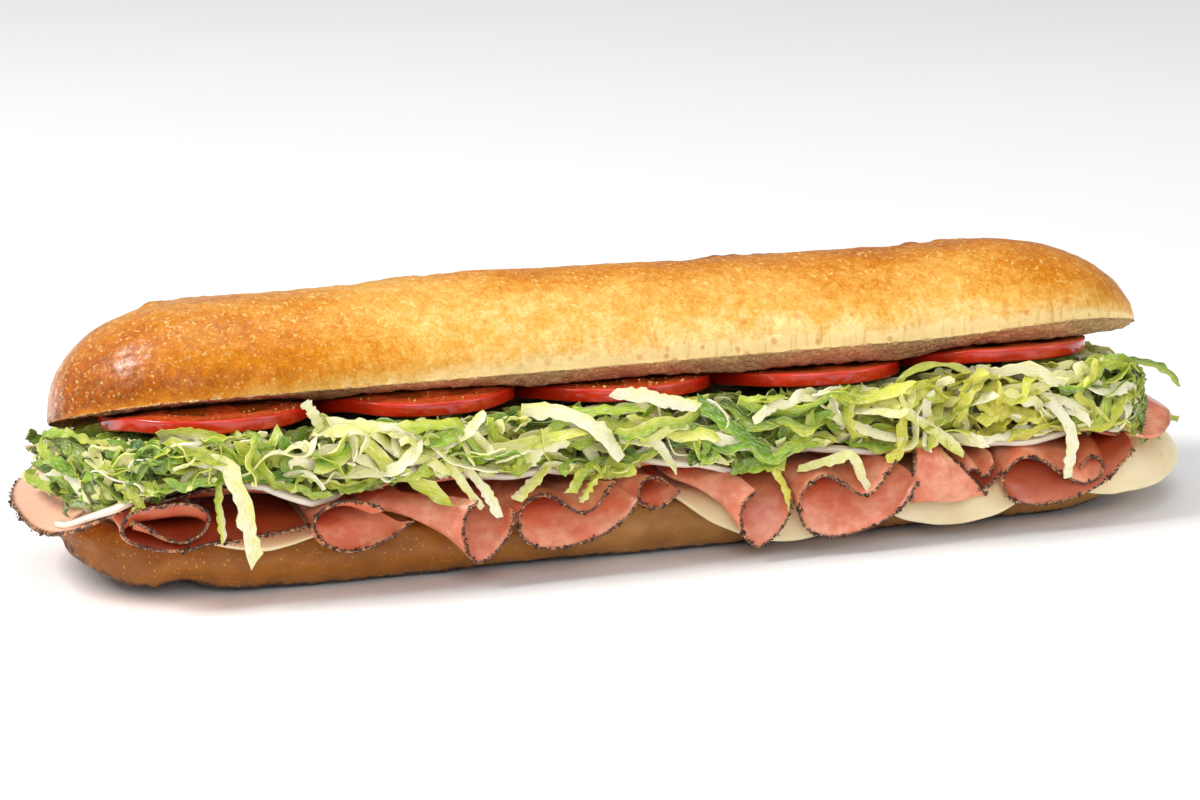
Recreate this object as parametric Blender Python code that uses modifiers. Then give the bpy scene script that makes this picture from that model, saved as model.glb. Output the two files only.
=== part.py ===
"""Submarine sandwich: a long roll cut into a lower and an upper half, filled with cheese, folded
peppered ham, flat ham, onion, shredded lettuce and tomato.

+X runs along the roll, -Y is the open front, +Z is up. The origin is the middle of the flat base.
All sizes are in millimetres and become metres where each mesh is made.
"""

import math

import bpy
import bmesh
import numpy as np

MM = 0.001

# The roll
BREAD_LENGTH = 320.0
RIM_RADIUS = 36.0            # half the depth of the lower cut face
SIDE_RADIUS = 38.0           # half the depth at the widest part of the lower half
BASE_HALF_DEPTH = 27.0       # half the depth of the flat base
RIM_FRONT = 17.0             # height of the lower cut face at the front
RIM_BACK = 20.5              # and at the back
BASE_LEFT_END = 70.0         # length over which the base rounds up at each end
BASE_RIGHT_END = 42.0
END_RISE = 14.5              # and how far it rises
LOWER_SIDE = ((BASE_HALF_DEPTH, 0.0), (32.5, 1.2), (36.8, 5.5), (SIDE_RADIUS, 10.0), (36.0, 14.0))
LOWER_CUT = (31.5, 16.0, 0.0, -16.0, -31.5)
LOWER_TIP_Z = 13.6
RIM_INSET = 6.5              # how much shorter the cut face is than the crust at each end
SINK = 0.9                   # how far the crumb lies below the slices' own surface

# The upper half rests on the filling and leans back
UPPER_RADIUS = 38.0
UPPER_CROWN = 31.5
UPPER_TILT = math.radians(19.0)
LIP_Y = -34.0                # front edge of the upper half
LIP_Z = 55.5
LEFT_END = 36.0              # length of the rounded ends of the upper half
RIGHT_END = 52.0
LOWER_LEFT_END = 46.0        # and of the lower half
LOWER_RIGHT_END = 38.0
SLASHES = ((-118.0, 6.0), (-52.0, 8.0), (44.0, 6.0), (104.0, 4.0))   # middle of each slash
SLASH_LENGTH = 58.0
SLASH_DEPTH = 2.6
SLASH_WIDTH = 5.0
SLASH_ANGLE = math.radians(24.0)
EAR_HEIGHT = 1.0             # the lifted edge beside a slash, its distance from the middle and its width
EAR_OFFSET = 7.0
EAR_WIDTH = 3.0

# Layers
GAP = 0.35
CHEESE_THICKNESS = 1.4
CHEESE_LEVEL = 2.1           # height of a slice that lies on another, over one that lies on the bread
HAM_THICKNESS = 1.1
TOMATO_THICKNESS = 3.8
TOMATO_TILT = math.radians(8.0)
TOMATO_Y = -12.0
TOMATO_FRONT = -40.0
TOMATOES = ((-119.5, 29.5), (-61.0, 27.8), (-4.0, 28.0), (53.0, 28.0), (110.0, 28.0))   # middle and radius
TOMATO_TOP_FRONT = 50.2      # height of the slices' upper face at the front, in the middle of the roll
TOMATO_RUN = 0.008           # how much the row of slices falls for each millimetre along the roll

# How a slice that passes the lower rim bends down over it
BEND_START = 3.0
BEND_LENGTH = 12.0
BEND_FRONT = math.radians(70.0)
BEND_LEFT = math.radians(8.0)
BEND_RIGHT = math.radians(45.0)

SPINE = BREAD_LENGTH / 2 - RIM_RADIUS


def clear_scene():
    for old in list(bpy.data.objects):
        bpy.data.objects.remove(old, do_unlink=True)
    for old in list(bpy.data.meshes):
        bpy.data.meshes.remove(old)
    for old in list(bpy.data.curves):
        bpy.data.curves.remove(old)
    for old in list(bpy.data.collections):
        bpy.data.collections.remove(old)


def make_collection(name):
    collection = bpy.data.collections.new(name)
    bpy.context.scene.collection.children.link(collection)
    return collection


def make_material(name, colour, roughness):
    material = bpy.data.materials.new(name)
    material.use_nodes = True
    shader = material.node_tree.nodes["Principled BSDF"]
    shader.inputs["Base Color"].default_value = (*colour, 1.0)
    shader.inputs["Roughness"].default_value = roughness
    shader.inputs["Metallic"].default_value = 0.0
    return material


def add_object(name, data, material, collection):
    """Links one mesh or curve to the part's collection under its own name."""
    item = bpy.data.objects.new(name, data)
    data.materials.append(material)
    collection.objects.link(item)
    return item


def mesh_from(name, points, faces):
    """Makes a smooth mesh of points given in millimetres."""
    mesh = bpy.data.meshes.new(name)
    mesh.from_pydata([tuple(c * MM for c in point) for point in points], [], faces)
    mesh.update()
    mesh.shade_smooth()
    return mesh


def smooth(t):
    t = min(max(t, 0.0), 1.0)
    return t * t * (3.0 - 2.0 * t)


def mix(a, b, t):
    return a + (b - a) * t


# ---- heights of the layers ---------------------------------------------------------------------

def crumb_top(y):
    """Height of the lower cut face."""
    return mix(RIM_FRONT, RIM_BACK, (y + RIM_RADIUS) / (2 * RIM_RADIUS))


def fold_floor(y):
    """Lowest height that a folded slice may take on the bread, above two layers of cheese."""
    return crumb_top(y) + CHEESE_LEVEL + CHEESE_THICKNESS + 2 * GAP


def fold_height(y):
    """Room for the folded slices, less towards the back."""
    return mix(4.4, 3.0, smooth((y + RIM_RADIUS) / (2 * RIM_RADIUS)))


def apron(y):
    """Lowest height of a folded slice in front of the rim, outside the cheese that bends down there."""
    bend = BEND_LENGTH / BEND_FRONT
    outer = bend + CHEESE_LEVEL + CHEESE_THICKNESS + 2 * GAP + HAM_THICKNESS / 2
    start = -(RIM_RADIUS - BEND_START)
    return crumb_top(start) - bend + math.sqrt(outer ** 2 - (y - start) ** 2)


def flat_floor(y):
    return fold_floor(y) + fold_height(y) + GAP


def onion_floor(y):
    return flat_floor(y) + HAM_THICKNESS + GAP


def rim_plane(y):
    """Height of the upper half's cut plane."""
    return LIP_Z - (y - LIP_Y) * math.tan(UPPER_TILT)


def tomato_top(x, y):
    """Height of the upper faces of the tomato slices, which lie in one leaning row."""
    front = TOMATO_TOP_FRONT - TOMATO_RUN * x
    return front - (y - TOMATO_FRONT) * math.tan(TOMATO_TILT)


# ---- lofts -------------------------------------------------------------------------------------

def loft(name, rings, first_tip, last_tip):
    """Skins a row of equal rings and closes both ends on a tip."""
    count = len(rings[0])
    points = [point for ring in rings for point in ring]
    faces = []
    for row in range(len(rings) - 1):
        for k in range(count):
            a = row * count + k
            b = row * count + (k + 1) % count
            faces.append((a, b, b + count, a + count))
    points += [first_tip, last_tip]
    for k in range(count):
        after = (k + 1) % count
        last = (len(rings) - 1) * count
        faces.append((after, k, len(points) - 2))
        faces.append((last + k, last + after, len(points) - 1))
    mesh = mesh_from(name, points, faces)
    shape = bmesh.new()
    shape.from_mesh(mesh)
    bmesh.ops.recalc_face_normals(shape, faces=shape.faces)
    shape.to_mesh(mesh)
    shape.free()
    return mesh


def end_stations(left_end, right_end, half, middle_count, end_count):
    """Places along the roll with the size of the section there, closer together on the rounded ends."""
    stations = []
    for k in range(end_count):
        angle = math.radians(80.0 * (1 - k / end_count))
        stations.append((-half + left_end * (1 - math.sin(angle)), math.cos(angle)))
    for k in range(middle_count + 1):
        stations.append((mix(-half + left_end, half - right_end, k / middle_count), 1.0))
    for k in range(end_count):
        angle = math.radians(80.0 * (k + 1) / end_count)
        stations.append((half - right_end * (1 - math.sin(angle)), math.cos(angle)))
    return stations


# ---- bread -------------------------------------------------------------------------------------

def lower_ring(x, size):
    """Section of the lower half: flat base, bulging sides and the cut face."""
    rounded = BASE_LEFT_END if x < 0 else BASE_RIGHT_END
    past = max(abs(x) - (BREAD_LENGTH / 2 - rounded), 0.0) / rounded
    rise = END_RISE * (1 - math.sqrt(max(1 - past * past, 0.0)))
    inset = math.copysign(RIM_INSET * (1 - size), x)
    ring = [(x, y * size, z + rise * (1 - z / RIM_BACK)) for y, z in LOWER_SIDE]
    ring += [(x - inset, y * size, crumb_top(y * size) - SINK) for y in LOWER_CUT]
    ring += [(x, -y * size, z + rise * (1 - z / RIM_BACK)) for y, z in reversed(LOWER_SIDE)]
    return ring


def make_lower_half(material, collection):
    half = BREAD_LENGTH / 2
    stations = end_stations(LOWER_LEFT_END, LOWER_RIGHT_END, half, 14, 5)
    rings = [lower_ring(x, size) for x, size in stations]
    mesh = loft("bun_bottom", rings, (-half, 0.0, LOWER_TIP_Z), (half, 0.0, LOWER_TIP_Z))
    return add_object("bun_bottom", mesh, material, collection)


def slash_relief(x, across):
    """Height that the baker's slashes add to the crust: a shallow trough with a raised ear."""
    relief = 0.0
    for slash_x, slash_across in SLASHES:
        along = (x - slash_x) * math.cos(SLASH_ANGLE) + (across - slash_across) * math.sin(SLASH_ANGLE)
        side = (across - slash_across) * math.cos(SLASH_ANGLE) - (x - slash_x) * math.sin(SLASH_ANGLE)
        window = smooth(2.2 * (1 - abs(along) / (SLASH_LENGTH / 2)))
        trough = SLASH_DEPTH * math.exp(-((side / SLASH_WIDTH) ** 2))
        ear = EAR_HEIGHT * math.exp(-(((side + EAR_OFFSET) / EAR_WIDTH) ** 2))
        relief += window * (ear - trough)
    return relief


def upper_point(x, across, height):
    """Turns a place in the upper half's own frame, across its cut face and above it, into the sandwich's."""
    middle_y = LIP_Y + UPPER_RADIUS * math.cos(UPPER_TILT)
    middle_z = LIP_Z - UPPER_RADIUS * math.sin(UPPER_TILT)
    y = middle_y + across * math.cos(UPPER_TILT) + height * math.sin(UPPER_TILT)
    z = middle_z - across * math.sin(UPPER_TILT) + height * math.cos(UPPER_TILT)
    return (x, y, z)


def underside_height(x, across):
    """Height of the crumb against the cut plane: it rests on the tomatoes and meets the rim all round."""
    ratio = across / UPPER_RADIUS
    front = smooth((1 + ratio) / 0.17)
    back = smooth((1 - ratio) / 0.5)
    y = upper_point(x, across, 0.0)[1]
    pocket = (tomato_top(x, y) + 0.5 - rim_plane(y)) * math.cos(UPPER_TILT)
    return pocket * front * back


def upper_ring(x, size, crown_scale):
    """Section of the upper half: the domed crust, then the crumb that rests on the filling."""
    ring = []
    steps = 13
    for k in range(steps + 1):
        angle = math.pi * k / steps
        across = math.copysign(abs(math.cos(angle)) ** 0.88, math.cos(angle)) * UPPER_RADIUS
        height = max(math.sin(angle), 0.0) ** 0.92 * UPPER_CROWN * crown_scale
        tuck = 1 - 0.04 * max(1 - height / 7.0, 0.0) ** 2
        height += slash_relief(x, across) * math.sin(angle) ** 2
        ring.append(upper_point(x, across * size * tuck, height * size))
    for ratio in (-0.9, -0.84, -0.6, -0.2, 0.2, 0.46, 0.7, 0.88):
        across = ratio * UPPER_RADIUS * size
        ring.append(upper_point(x, across, underside_height(x, across) * smooth(size * 1.6)))
    return ring


def make_upper_half(material, collection):
    half = BREAD_LENGTH / 2
    rings = []
    for x, size in end_stations(LEFT_END, RIGHT_END, half, 17, 5):
        crown = 0.985 + 0.03 * math.cos((x + 38.0) / 40.0)
        rings.append(upper_ring(x, size, crown))
    left_tip = upper_point(-half, 0.0, 2.0)
    right_tip = upper_point(half, 0.0, 4.0)
    mesh = loft("bun_top", rings, left_tip, right_tip)
    return add_object("bun_top", mesh, material, collection)


# ---- slices laid on the lower half -------------------------------------------------------------

def drape(x, y, lift):
    """Lays the flat place (x, y) on the lower half at a height above the bread; past the rim it hangs down."""
    spine_x = min(max(x, -SPINE), SPINE)
    reach = math.hypot(x - spine_x, y)
    past = reach - RIM_RADIUS + BEND_START
    if past <= 0.0:
        return (x, y, crumb_top(y) + lift)
    out_x = (x - spine_x) / reach
    out_y = y / reach
    at_end = BEND_LEFT if x < 0 else BEND_RIGHT
    full = mix(at_end, BEND_FRONT, out_y * out_y)
    turn = full * min(past / BEND_LENGTH, 1.0)
    radius = BEND_LENGTH / full
    beyond = max(past - BEND_LENGTH, 0.0)
    out = RIM_RADIUS - BEND_START + radius * math.sin(turn) + beyond * math.cos(turn) + lift * math.sin(turn)
    drop = radius * (1 - math.cos(turn)) + beyond * math.sin(turn)
    rim_y = out_y * (RIM_RADIUS - BEND_START)
    return (spine_x + out_x * out, out_y * out, crumb_top(rim_y) - drop + lift * math.cos(turn))


def slice_mesh(name, centre, radii, squareness, x_cuts, y_cuts, place):
    """A round or squarish flat slice, cut along lines where it will bend, then laid down by the given function."""
    shape = bmesh.new()
    bmesh.ops.create_circle(shape, cap_ends=True, segments=SLICE_SIDES, radius=1.0)
    for vertex in shape.verts:
        c, s = vertex.co.x, vertex.co.y
        reach = (abs(c) ** squareness + abs(s) ** squareness) ** (-1 / squareness)
        vertex.co = (centre[0] + radii[0] * reach * c, centre[1] + radii[1] * reach * s, 0.0)
    cuts = [((x, 0.0, 0.0), (1.0, 0.0, 0.0)) for x in x_cuts]
    cuts += [((0.0, y, 0.0), (0.0, 1.0, 0.0)) for y in y_cuts]
    for point, normal in cuts:
        geometry = shape.verts[:] + shape.edges[:] + shape.faces[:]
        bmesh.ops.bisect_plane(shape, geom=geometry, dist=0.4, plane_co=point, plane_no=normal)
    for vertex in shape.verts:
        vertex.co = [c * MM for c in place(vertex.co.x, vertex.co.y)]
    mesh = bpy.data.meshes.new(name)
    shape.to_mesh(mesh)
    shape.free()
    mesh.shade_smooth()
    return mesh


def add_thickness(item, thickness, group=None):
    """Gives an open sheet its thickness, half to each side."""
    shell = item.modifiers.new("thickness", "SOLIDIFY")
    shell.thickness = thickness * MM
    shell.offset = 0.0
    if group:
        shell.vertex_group = group
        shell.thickness_vertex_group = 0.0
    return shell


SLICE_SIDES = 26             # corners round a slice
FRONT_CUTS = (-47.0, -41.0, -37.0, -33.0, -22.0, -11.0, 0.0, 11.0, 33.0)      # lines along which a hanging slice bends
END_CUTS = (12.0, 24.0, 33.0, 39.0)                  # and past the spine's right end

# Cheese: middle of each slice, its radius, and its right neighbour's left edge, where it has climbed on it
CHEESES = (
    ("cheese_1", (-116.0, -4.5), 41.0, -75.0),
    ("cheese_2", (-36.0, -2.0), 36.5, -3.0),
    ("cheese_3", (38.0, -11.0), 41.0, 48.5),
    ("cheese_4", (88.0, -13.0), 39.5, 93.0),
    ("cheese_5", (132.0, -7.5), 39.5, 400.0),
)
CLIMB = 8.0                  # length over which a slice climbs on the next one
CLEAR = 1.0


def make_cheeses(material, collection):
    for name, centre, radius, next_edge in CHEESES:
        def place(x, y, next_edge=next_edge):
            climbed = smooth((x - (next_edge - CLEAR - CLIMB)) / CLIMB)
            return drape(x, y, GAP + CHEESE_THICKNESS / 2 + CHEESE_LEVEL * climbed)
        x_cuts = [next_edge - CLEAR - CLIMB, next_edge - CLEAR, centre[0] - radius / 2, centre[0]]
        x_cuts += [SPINE + past for past in END_CUTS]
        mesh = slice_mesh(name, centre, (radius, radius), 2.0, x_cuts, FRONT_CUTS, place)
        item = add_object(name, mesh, material, collection)
        add_thickness(item, CHEESE_THICKNESS)


# Flat ham over the folds: middle of each slice and its half sizes
FLAT_HAMS = (
    ("ham_flat_1", (-134.5, -1.0), (36.0, 36.0)),
    ("ham_flat_2", (-64.0, -1.0), (34.5, 35.5)),
    ("ham_flat_3", (6.0, -1.0), (34.5, 36.0)),
    ("ham_flat_4", (76.0, -1.0), (34.5, 35.5)),
    ("ham_flat_5", (138.0, -2.0), (26.5, 35.0)),
)


def flat_place(x, y):
    """Flat ham follows the folds below it, and sinks past the right end of the roll."""
    ripple = 0.25 * math.sin(x / 7.0) * smooth((-y - 10.0) / 25.0)
    height = flat_floor(y) + HAM_THICKNESS / 2 + 0.3 + ripple
    past = max(x - (SPINE + RIM_RADIUS - BEND_START), 0.0)
    radius = BEND_LENGTH / BEND_RIGHT
    turn = past / radius
    return (x - past + radius * math.sin(turn), y, height - radius * (1 - math.cos(turn)))


def make_flat_hams(material, collection):
    for name, centre, radii in FLAT_HAMS:
        x_cuts = (centre[0] - 12.0, centre[0] + 12.0, SPINE + RIM_RADIUS - BEND_START)
        mesh = slice_mesh(name, centre, radii, 3.2, x_cuts, (-20.0, 10.0), flat_place)
        item = add_object(name, mesh, material, collection)
        add_thickness(item, HAM_THICKNESS)


# ---- folded ham --------------------------------------------------------------------------------

# The line that a folded slice draws at its open front, in a box one wide and one high
ROLL = ((0.46, 0.84), (0.62, 0.86), (0.74, 0.72), (0.68, 0.50), (0.46, 0.54), (0.24, 0.86), (0.08, 0.92),
        (0.0, 0.50), (0.12, 0.12), (0.36, 0.0), (0.72, 0.06), (1.0, 0.62))
FLAP = ((0.09, 0.70), (0.19, 0.48), (0.32, 0.34), (0.45, 0.52), (0.40, 0.86), (0.22, 1.0), (0.04, 0.82),
        (0.0, 0.42), (0.12, 0.04), (0.34, 0.0), (0.68, 0.05), (1.0, 0.0))
WAVE = ((0.80, 1.0), (0.64, 0.62), (0.50, 0.55), (0.34, 0.76), (0.20, 0.86), (0.05, 0.72), (0.0, 0.44),
        (0.08, 0.14), (0.32, 0.0), (0.62, 0.10), (0.84, 0.32), (1.0, 0.66))
CUP = ((0.70, 0.74), (0.50, 0.94), (0.30, 1.0), (0.10, 0.86), (0.0, 0.60), (0.05, 0.26), (0.22, 0.04),
       (0.42, 0.0), (0.62, 0.08), (0.82, 0.26), (1.0, 0.48))
CONE = ((0.30, 1.0), (0.10, 0.84), (0.0, 0.56), (0.06, 0.26), (0.26, 0.0), (0.52, 0.05), (0.76, 0.24),
        (0.94, 0.50), (1.0, 0.76))

# Each fold: its line; left, right, bottom and top of its open front and how far forward it comes;
# then the room that it takes on the bread from left to right
FOLDS = (
    ("ham_fold_1", FLAP, (-151.0, -100.0, 18.5, 31.0, -46.5), (-150.0, -101.0)),
    ("ham_fold_2", CUP, (-99.0, -72.0, 14.0, 28.0, -48.0), (-99.5, -84.5)),
    ("ham_fold_3", CONE, (-59.0, -44.5, 8.5, 25.5, -51.0), (-83.0, -46.5)),
    ("ham_fold_4", WAVE, (-43.0, -8.0, 9.5, 27.0, -49.0), (-45.0, -14.5)),
    ("ham_fold_5", CUP, (-7.0, 5.0, 17.0, 26.0, -45.0), (-13.0, 3.0)),
    ("ham_fold_6", CONE, (21.0, 36.0, 5.0, 21.0, -50.5), (4.5, 34.0)),
    ("ham_fold_7", WAVE, (38.0, 74.0, 5.5, 26.0, -50.5), (36.0, 66.0)),
    ("ham_fold_8", CONE, (76.0, 86.0, 13.0, 25.5, -48.5), (67.5, 84.0)),
    ("ham_fold_9", WAVE, (87.5, 99.5, 12.0, 24.0, -47.0), (85.5, 99.0)),
    ("ham_fold_10", ROLL, (101.0, 142.0, 8.0, 22.5, -49.0), (100.5, 141.0)),
)
FOLD_TAIL_Y = 30.0           # where the folded slices end at the back
FOLD_TOP = 25.0              # height of a fold where it comes over the front rim


def fold_sections(front, room):
    """Sections of a fold from its open front, up over the rim, to its flat tail: left, right, bottom,
    top, y and how much of the slice's thickness is left."""
    left, right, bottom, top, front_y = front
    sections = [(left, right, bottom, top, front_y, 1.0)]
    for share, y in ((0.25, -46.0), (0.62, -41.5)):
        y = max(y, front_y + 2.0)
        low = max(bottom, apron(y))
        high = mix(top, FOLD_TOP + 0.6, share ** 0.35)
        sections.append((mix(left, room[0], share), mix(right, room[1], share), low, high, y, 0.85))
    for y, thin in ((-36.0, 0.5), (-6.0, 0.4), (FOLD_TAIL_Y, 0.3)):
        low = fold_floor(y) + HAM_THICKNESS * thin / 2
        high = fold_floor(y) + fold_height(y) - HAM_THICKNESS * thin / 2
        sections.append((room[0], room[1], low, high, y, thin))
    return sections


def make_folds(material, collection):
    for name, line, front, room in FOLDS:
        points = []
        weights = []
        for left, right, bottom, top, y, thin in fold_sections(front, room):
            for across, up in line:
                points.append((mix(left, right, across), y, mix(bottom, top, up)))
                weights.append(thin)
        count = len(line)
        faces = []
        for row in range(len(points) // count - 1):
            for k in range(count - 1):
                a = row * count + k
                faces.append((a, a + 1, a + 1 + count, a + count))
        item = add_object(name, mesh_from(name, points, faces), material, collection)
        group = item.vertex_groups.new(name="thin")
        for index, weight in enumerate(weights):
            group.add([index], weight, "REPLACE")
        add_thickness(item, HAM_THICKNESS, "thin")


# ---- onion, lettuce and tomato -----------------------------------------------------------------

# Onion rings cut into arcs: middle, radii, first and last angle
ONIONS = (
    ("onion_1", (-146.0, -24.0), (20.0, 13.0), (185.0, 330.0)),
    ("onion_2", (-106.0, -20.0), (24.0, 19.0), (195.0, 345.0)),
    ("onion_3", (-42.0, -20.0), (25.0, 18.5), (190.0, 350.0)),
    ("onion_4", (9.0, -22.0), (20.0, 17.0), (190.0, 350.0)),
    ("onion_5", (54.0, -22.0), (19.0, 17.0), (185.0, 345.0)),
    ("onion_6", (106.0, -21.0), (26.0, 18.0), (195.0, 350.0)),
)
ONION_RADIUS = 1.15


def make_onions(material, collection):
    steps = 10
    for name, centre, radii, angles in ONIONS:
        curve = bpy.data.curves.new(name, "CURVE")
        curve.dimensions = "3D"
        spline = curve.splines.new("POLY")
        spline.points.add(steps)
        for k in range(steps + 1):
            angle = math.radians(mix(angles[0], angles[1], k / steps))
            x = centre[0] + radii[0] * math.cos(angle)
            y = centre[1] + radii[1] * math.sin(angle)
            z = onion_floor(y) + 0.6 + ONION_RADIUS
            spline.points[k].co = (x * MM, y * MM, z * MM, 1.0)
        curve.bevel_depth = ONION_RADIUS * MM
        curve.bevel_resolution = 1
        curve.use_fill_caps = True
        add_object(name, curve, material, collection)


LETTUCE_FRONT = -45.0
LETTUCE_BACK = 28.0
LETTUCE_LEFT = -166.0
LETTUCE_RIGHT = 167.0
LETTUCE_OVER_ONION = 3.4


def unevenness(x, turn, seed):
    """A repeatable, smooth ragged value between about -1 and 1."""
    first = math.sin(x * 0.19 + turn * 1.7 + seed)
    second = math.sin(x * 0.071 - turn * 2.9 + seed * 2.3)
    third = math.sin(x * 0.37 + turn * 4.1 + seed * 0.7)
    return (first + second + third) / 3.0


def lettuce_top(x, y):
    under_tomato = tomato_top(x, y) - TOMATO_THICKNESS / math.cos(TOMATO_TILT) - 0.5
    return min(under_tomato, rim_plane(y) - 0.8)


def lettuce_floor(y):
    over = mix(LETTUCE_OVER_ONION, 0.5, smooth((y + 30.0) / 40.0))
    return onion_floor(y) + over


def lettuce_ring(x, size):
    """Section of the heap: a ragged front between the onions and the tomatoes, thinning to the back."""
    front = LETTUCE_FRONT + 1.5 * unevenness(x, 0.0, 1.0)
    ys = [mix(front + 4.0, LETTUCE_BACK, k / 6) for k in range(7)]
    ring = [(front + 1.0, lettuce_floor(front) + 4.0 + unevenness(x, 1.0, 2.0)),
            (front - 1.5 + unevenness(x, 2.0, 3.0), 37.5 + unevenness(x, 0.5, 0.0)),
            (front + 1.0, lettuce_top(x, front) - 2.0 + unevenness(x, 3.0, 4.0))]
    ring += [(y, lettuce_top(x, y) - 0.5 - 0.4 * unevenness(x, y, 5.0)) for y in ys]
    ring += [(y, lettuce_floor(y) + 0.5 + 0.4 * unevenness(x, y, 6.0)) for y in reversed(ys)]
    middle = (-6.0, 36.0)
    return [(x, mix(middle[0], y, size), mix(middle[1], z, mix(size, 1.0, 0.35))) for y, z in ring]


def make_lettuce(material, collection):
    half = (LETTUCE_RIGHT - LETTUCE_LEFT) / 2
    shift = (LETTUCE_RIGHT + LETTUCE_LEFT) / 2
    rings = []
    for x, size in end_stations(26.0, 30.0, half, 20, 4):
        rings.append(lettuce_ring(x + shift, size))
    mesh = loft("lettuce", rings, (LETTUCE_LEFT, -6.0, 36.0), (LETTUCE_RIGHT, -6.0, 36.0))
    return add_object("lettuce", mesh, material, collection)


def make_tomatoes(material, collection):
    for number, (x, radius) in enumerate(TOMATOES, start=1):
        name = f"tomato_{number}"
        mesh = bpy.data.meshes.new(name)
        shape = bmesh.new()
        bmesh.ops.create_cone(shape, cap_ends=True, segments=28, radius1=radius * MM,
                              radius2=radius * MM, depth=TOMATO_THICKNESS * MM)
        shape.to_mesh(mesh)
        shape.free()
        item = add_object(name, mesh, material, collection)
        middle = tomato_top(x, TOMATO_Y) - TOMATO_THICKNESS / 2 / math.cos(TOMATO_TILT)
        item.location = (x * MM, TOMATO_Y * MM, middle * MM)
        item.rotation_euler = (-TOMATO_TILT, math.atan(TOMATO_RUN), 0.0)
        edge = item.modifiers.new("edge", "BEVEL")
        edge.width = 0.7 * MM
        edge.segments = 1
        mesh.shade_smooth()
        mesh.set_sharp_from_angle(angle=math.radians(50))


def main():
    clear_scene()
    collection = make_collection("submarine_sandwich")
    crust = make_material("crust", (0.62, 0.33, 0.10), 0.45)
    crumb_side = make_material("lower_crust", (0.55, 0.30, 0.10), 0.60)
    cheese = make_material("cheese", (0.86, 0.78, 0.52), 0.45)
    folded = make_material("folded_ham", (0.80, 0.38, 0.32), 0.40)
    flat = make_material("flat_ham", (0.82, 0.42, 0.34), 0.40)
    onion = make_material("onion", (0.88, 0.85, 0.78), 0.30)
    lettuce = make_material("lettuce", (0.48, 0.62, 0.20), 0.45)
    tomato = make_material("tomato", (0.62, 0.05, 0.03), 0.22)
    make_lower_half(crumb_side, collection)
    make_cheeses(cheese, collection)
    make_folds(folded, collection)
    make_flat_hams(flat, collection)
    make_onions(onion, collection)
    make_lettuce(lettuce, collection)
    make_tomatoes(tomato, collection)
    make_upper_half(crust, collection)


main()
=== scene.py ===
import math

import bpy
import numpy as np
from mathutils import Matrix, Vector


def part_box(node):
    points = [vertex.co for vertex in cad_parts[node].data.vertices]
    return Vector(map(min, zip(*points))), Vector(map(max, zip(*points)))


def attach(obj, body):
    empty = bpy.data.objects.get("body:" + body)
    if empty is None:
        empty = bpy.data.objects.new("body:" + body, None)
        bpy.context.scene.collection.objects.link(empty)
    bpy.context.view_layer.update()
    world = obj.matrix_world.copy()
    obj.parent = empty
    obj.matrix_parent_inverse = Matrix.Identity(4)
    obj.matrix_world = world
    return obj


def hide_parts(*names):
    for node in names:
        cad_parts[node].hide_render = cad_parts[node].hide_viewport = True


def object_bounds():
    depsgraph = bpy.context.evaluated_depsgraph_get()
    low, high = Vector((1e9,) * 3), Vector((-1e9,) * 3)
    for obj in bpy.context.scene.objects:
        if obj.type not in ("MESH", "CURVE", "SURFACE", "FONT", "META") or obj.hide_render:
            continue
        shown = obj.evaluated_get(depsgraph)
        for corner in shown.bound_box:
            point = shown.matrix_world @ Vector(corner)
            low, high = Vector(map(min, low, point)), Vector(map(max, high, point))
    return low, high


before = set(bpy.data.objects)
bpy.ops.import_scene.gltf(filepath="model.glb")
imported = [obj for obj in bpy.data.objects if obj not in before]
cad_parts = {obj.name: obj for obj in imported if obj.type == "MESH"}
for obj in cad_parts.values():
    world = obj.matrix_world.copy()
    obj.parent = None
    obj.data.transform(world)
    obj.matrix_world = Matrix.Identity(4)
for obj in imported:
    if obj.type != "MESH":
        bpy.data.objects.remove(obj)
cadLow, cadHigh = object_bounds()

mm = 0.001
rng = np.random.default_rng(12)

# Sizes are in millimetres here and become metres where a mesh is made.
# +X runs along the roll, -Y is the open front, +Z is up.
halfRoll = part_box("bun_bottom")[1][0] / mm
print("frame loaded, half roll", round(halfRoll, 1), "mm")


def smooth(t):
    # 3t^2 - 2t^3 between 0 and 1
    t = np.clip(t, 0.0, 1.0)
    return t * t * (3.0 - 2.0 * t)


def mix(a, b, t):
    # a where t is 0, b where t is 1, straight between
    return a + (b - a) * t


def paint(red, green, blue):
    # a screen colour from 0 to 255 as the linear colour a shader wants
    values = []
    for c in (red, green, blue):
        c = c / 255.0
        values.append(c / 12.92 if c <= 0.04045 else ((c + 0.055) / 1.055) ** 2.4)
    return (*values, 1.0)


def cornerValue(i, j, k, seed):
    # a fixed random value from -1 to 1 for each corner of a unit lattice
    n = (i * 374761393 + j * 668265263 + k * 1103515245 + seed * 974634777) & 0xFFFFFFFF
    n = ((n ^ (n >> 13)) * 1274126177) & 0xFFFFFFFF
    return ((n ^ (n >> 16)) & 0xFFFF) / 32767.5 - 1.0


def latticeNoise(x, y, z, seed):
    # the eight corner values round each point, blended with 3t^2 - 2t^3 along each axis
    x, y, z = np.broadcast_arrays(x, y, z)
    i = np.floor(x).astype(np.int64)
    j = np.floor(y).astype(np.int64)
    k = np.floor(z).astype(np.int64)
    fx = smooth(x - i)
    fy = smooth(y - j)
    fz = smooth(z - k)
    total = np.zeros(x.shape)
    for a in (0, 1):
        for b in (0, 1):
            for c in (0, 1):
                weight = (fx if a else 1 - fx) * (fy if b else 1 - fy) * (fz if c else 1 - fz)
                total += weight * cornerValue(i + a, j + b, k + c, seed)
    return total


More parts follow.
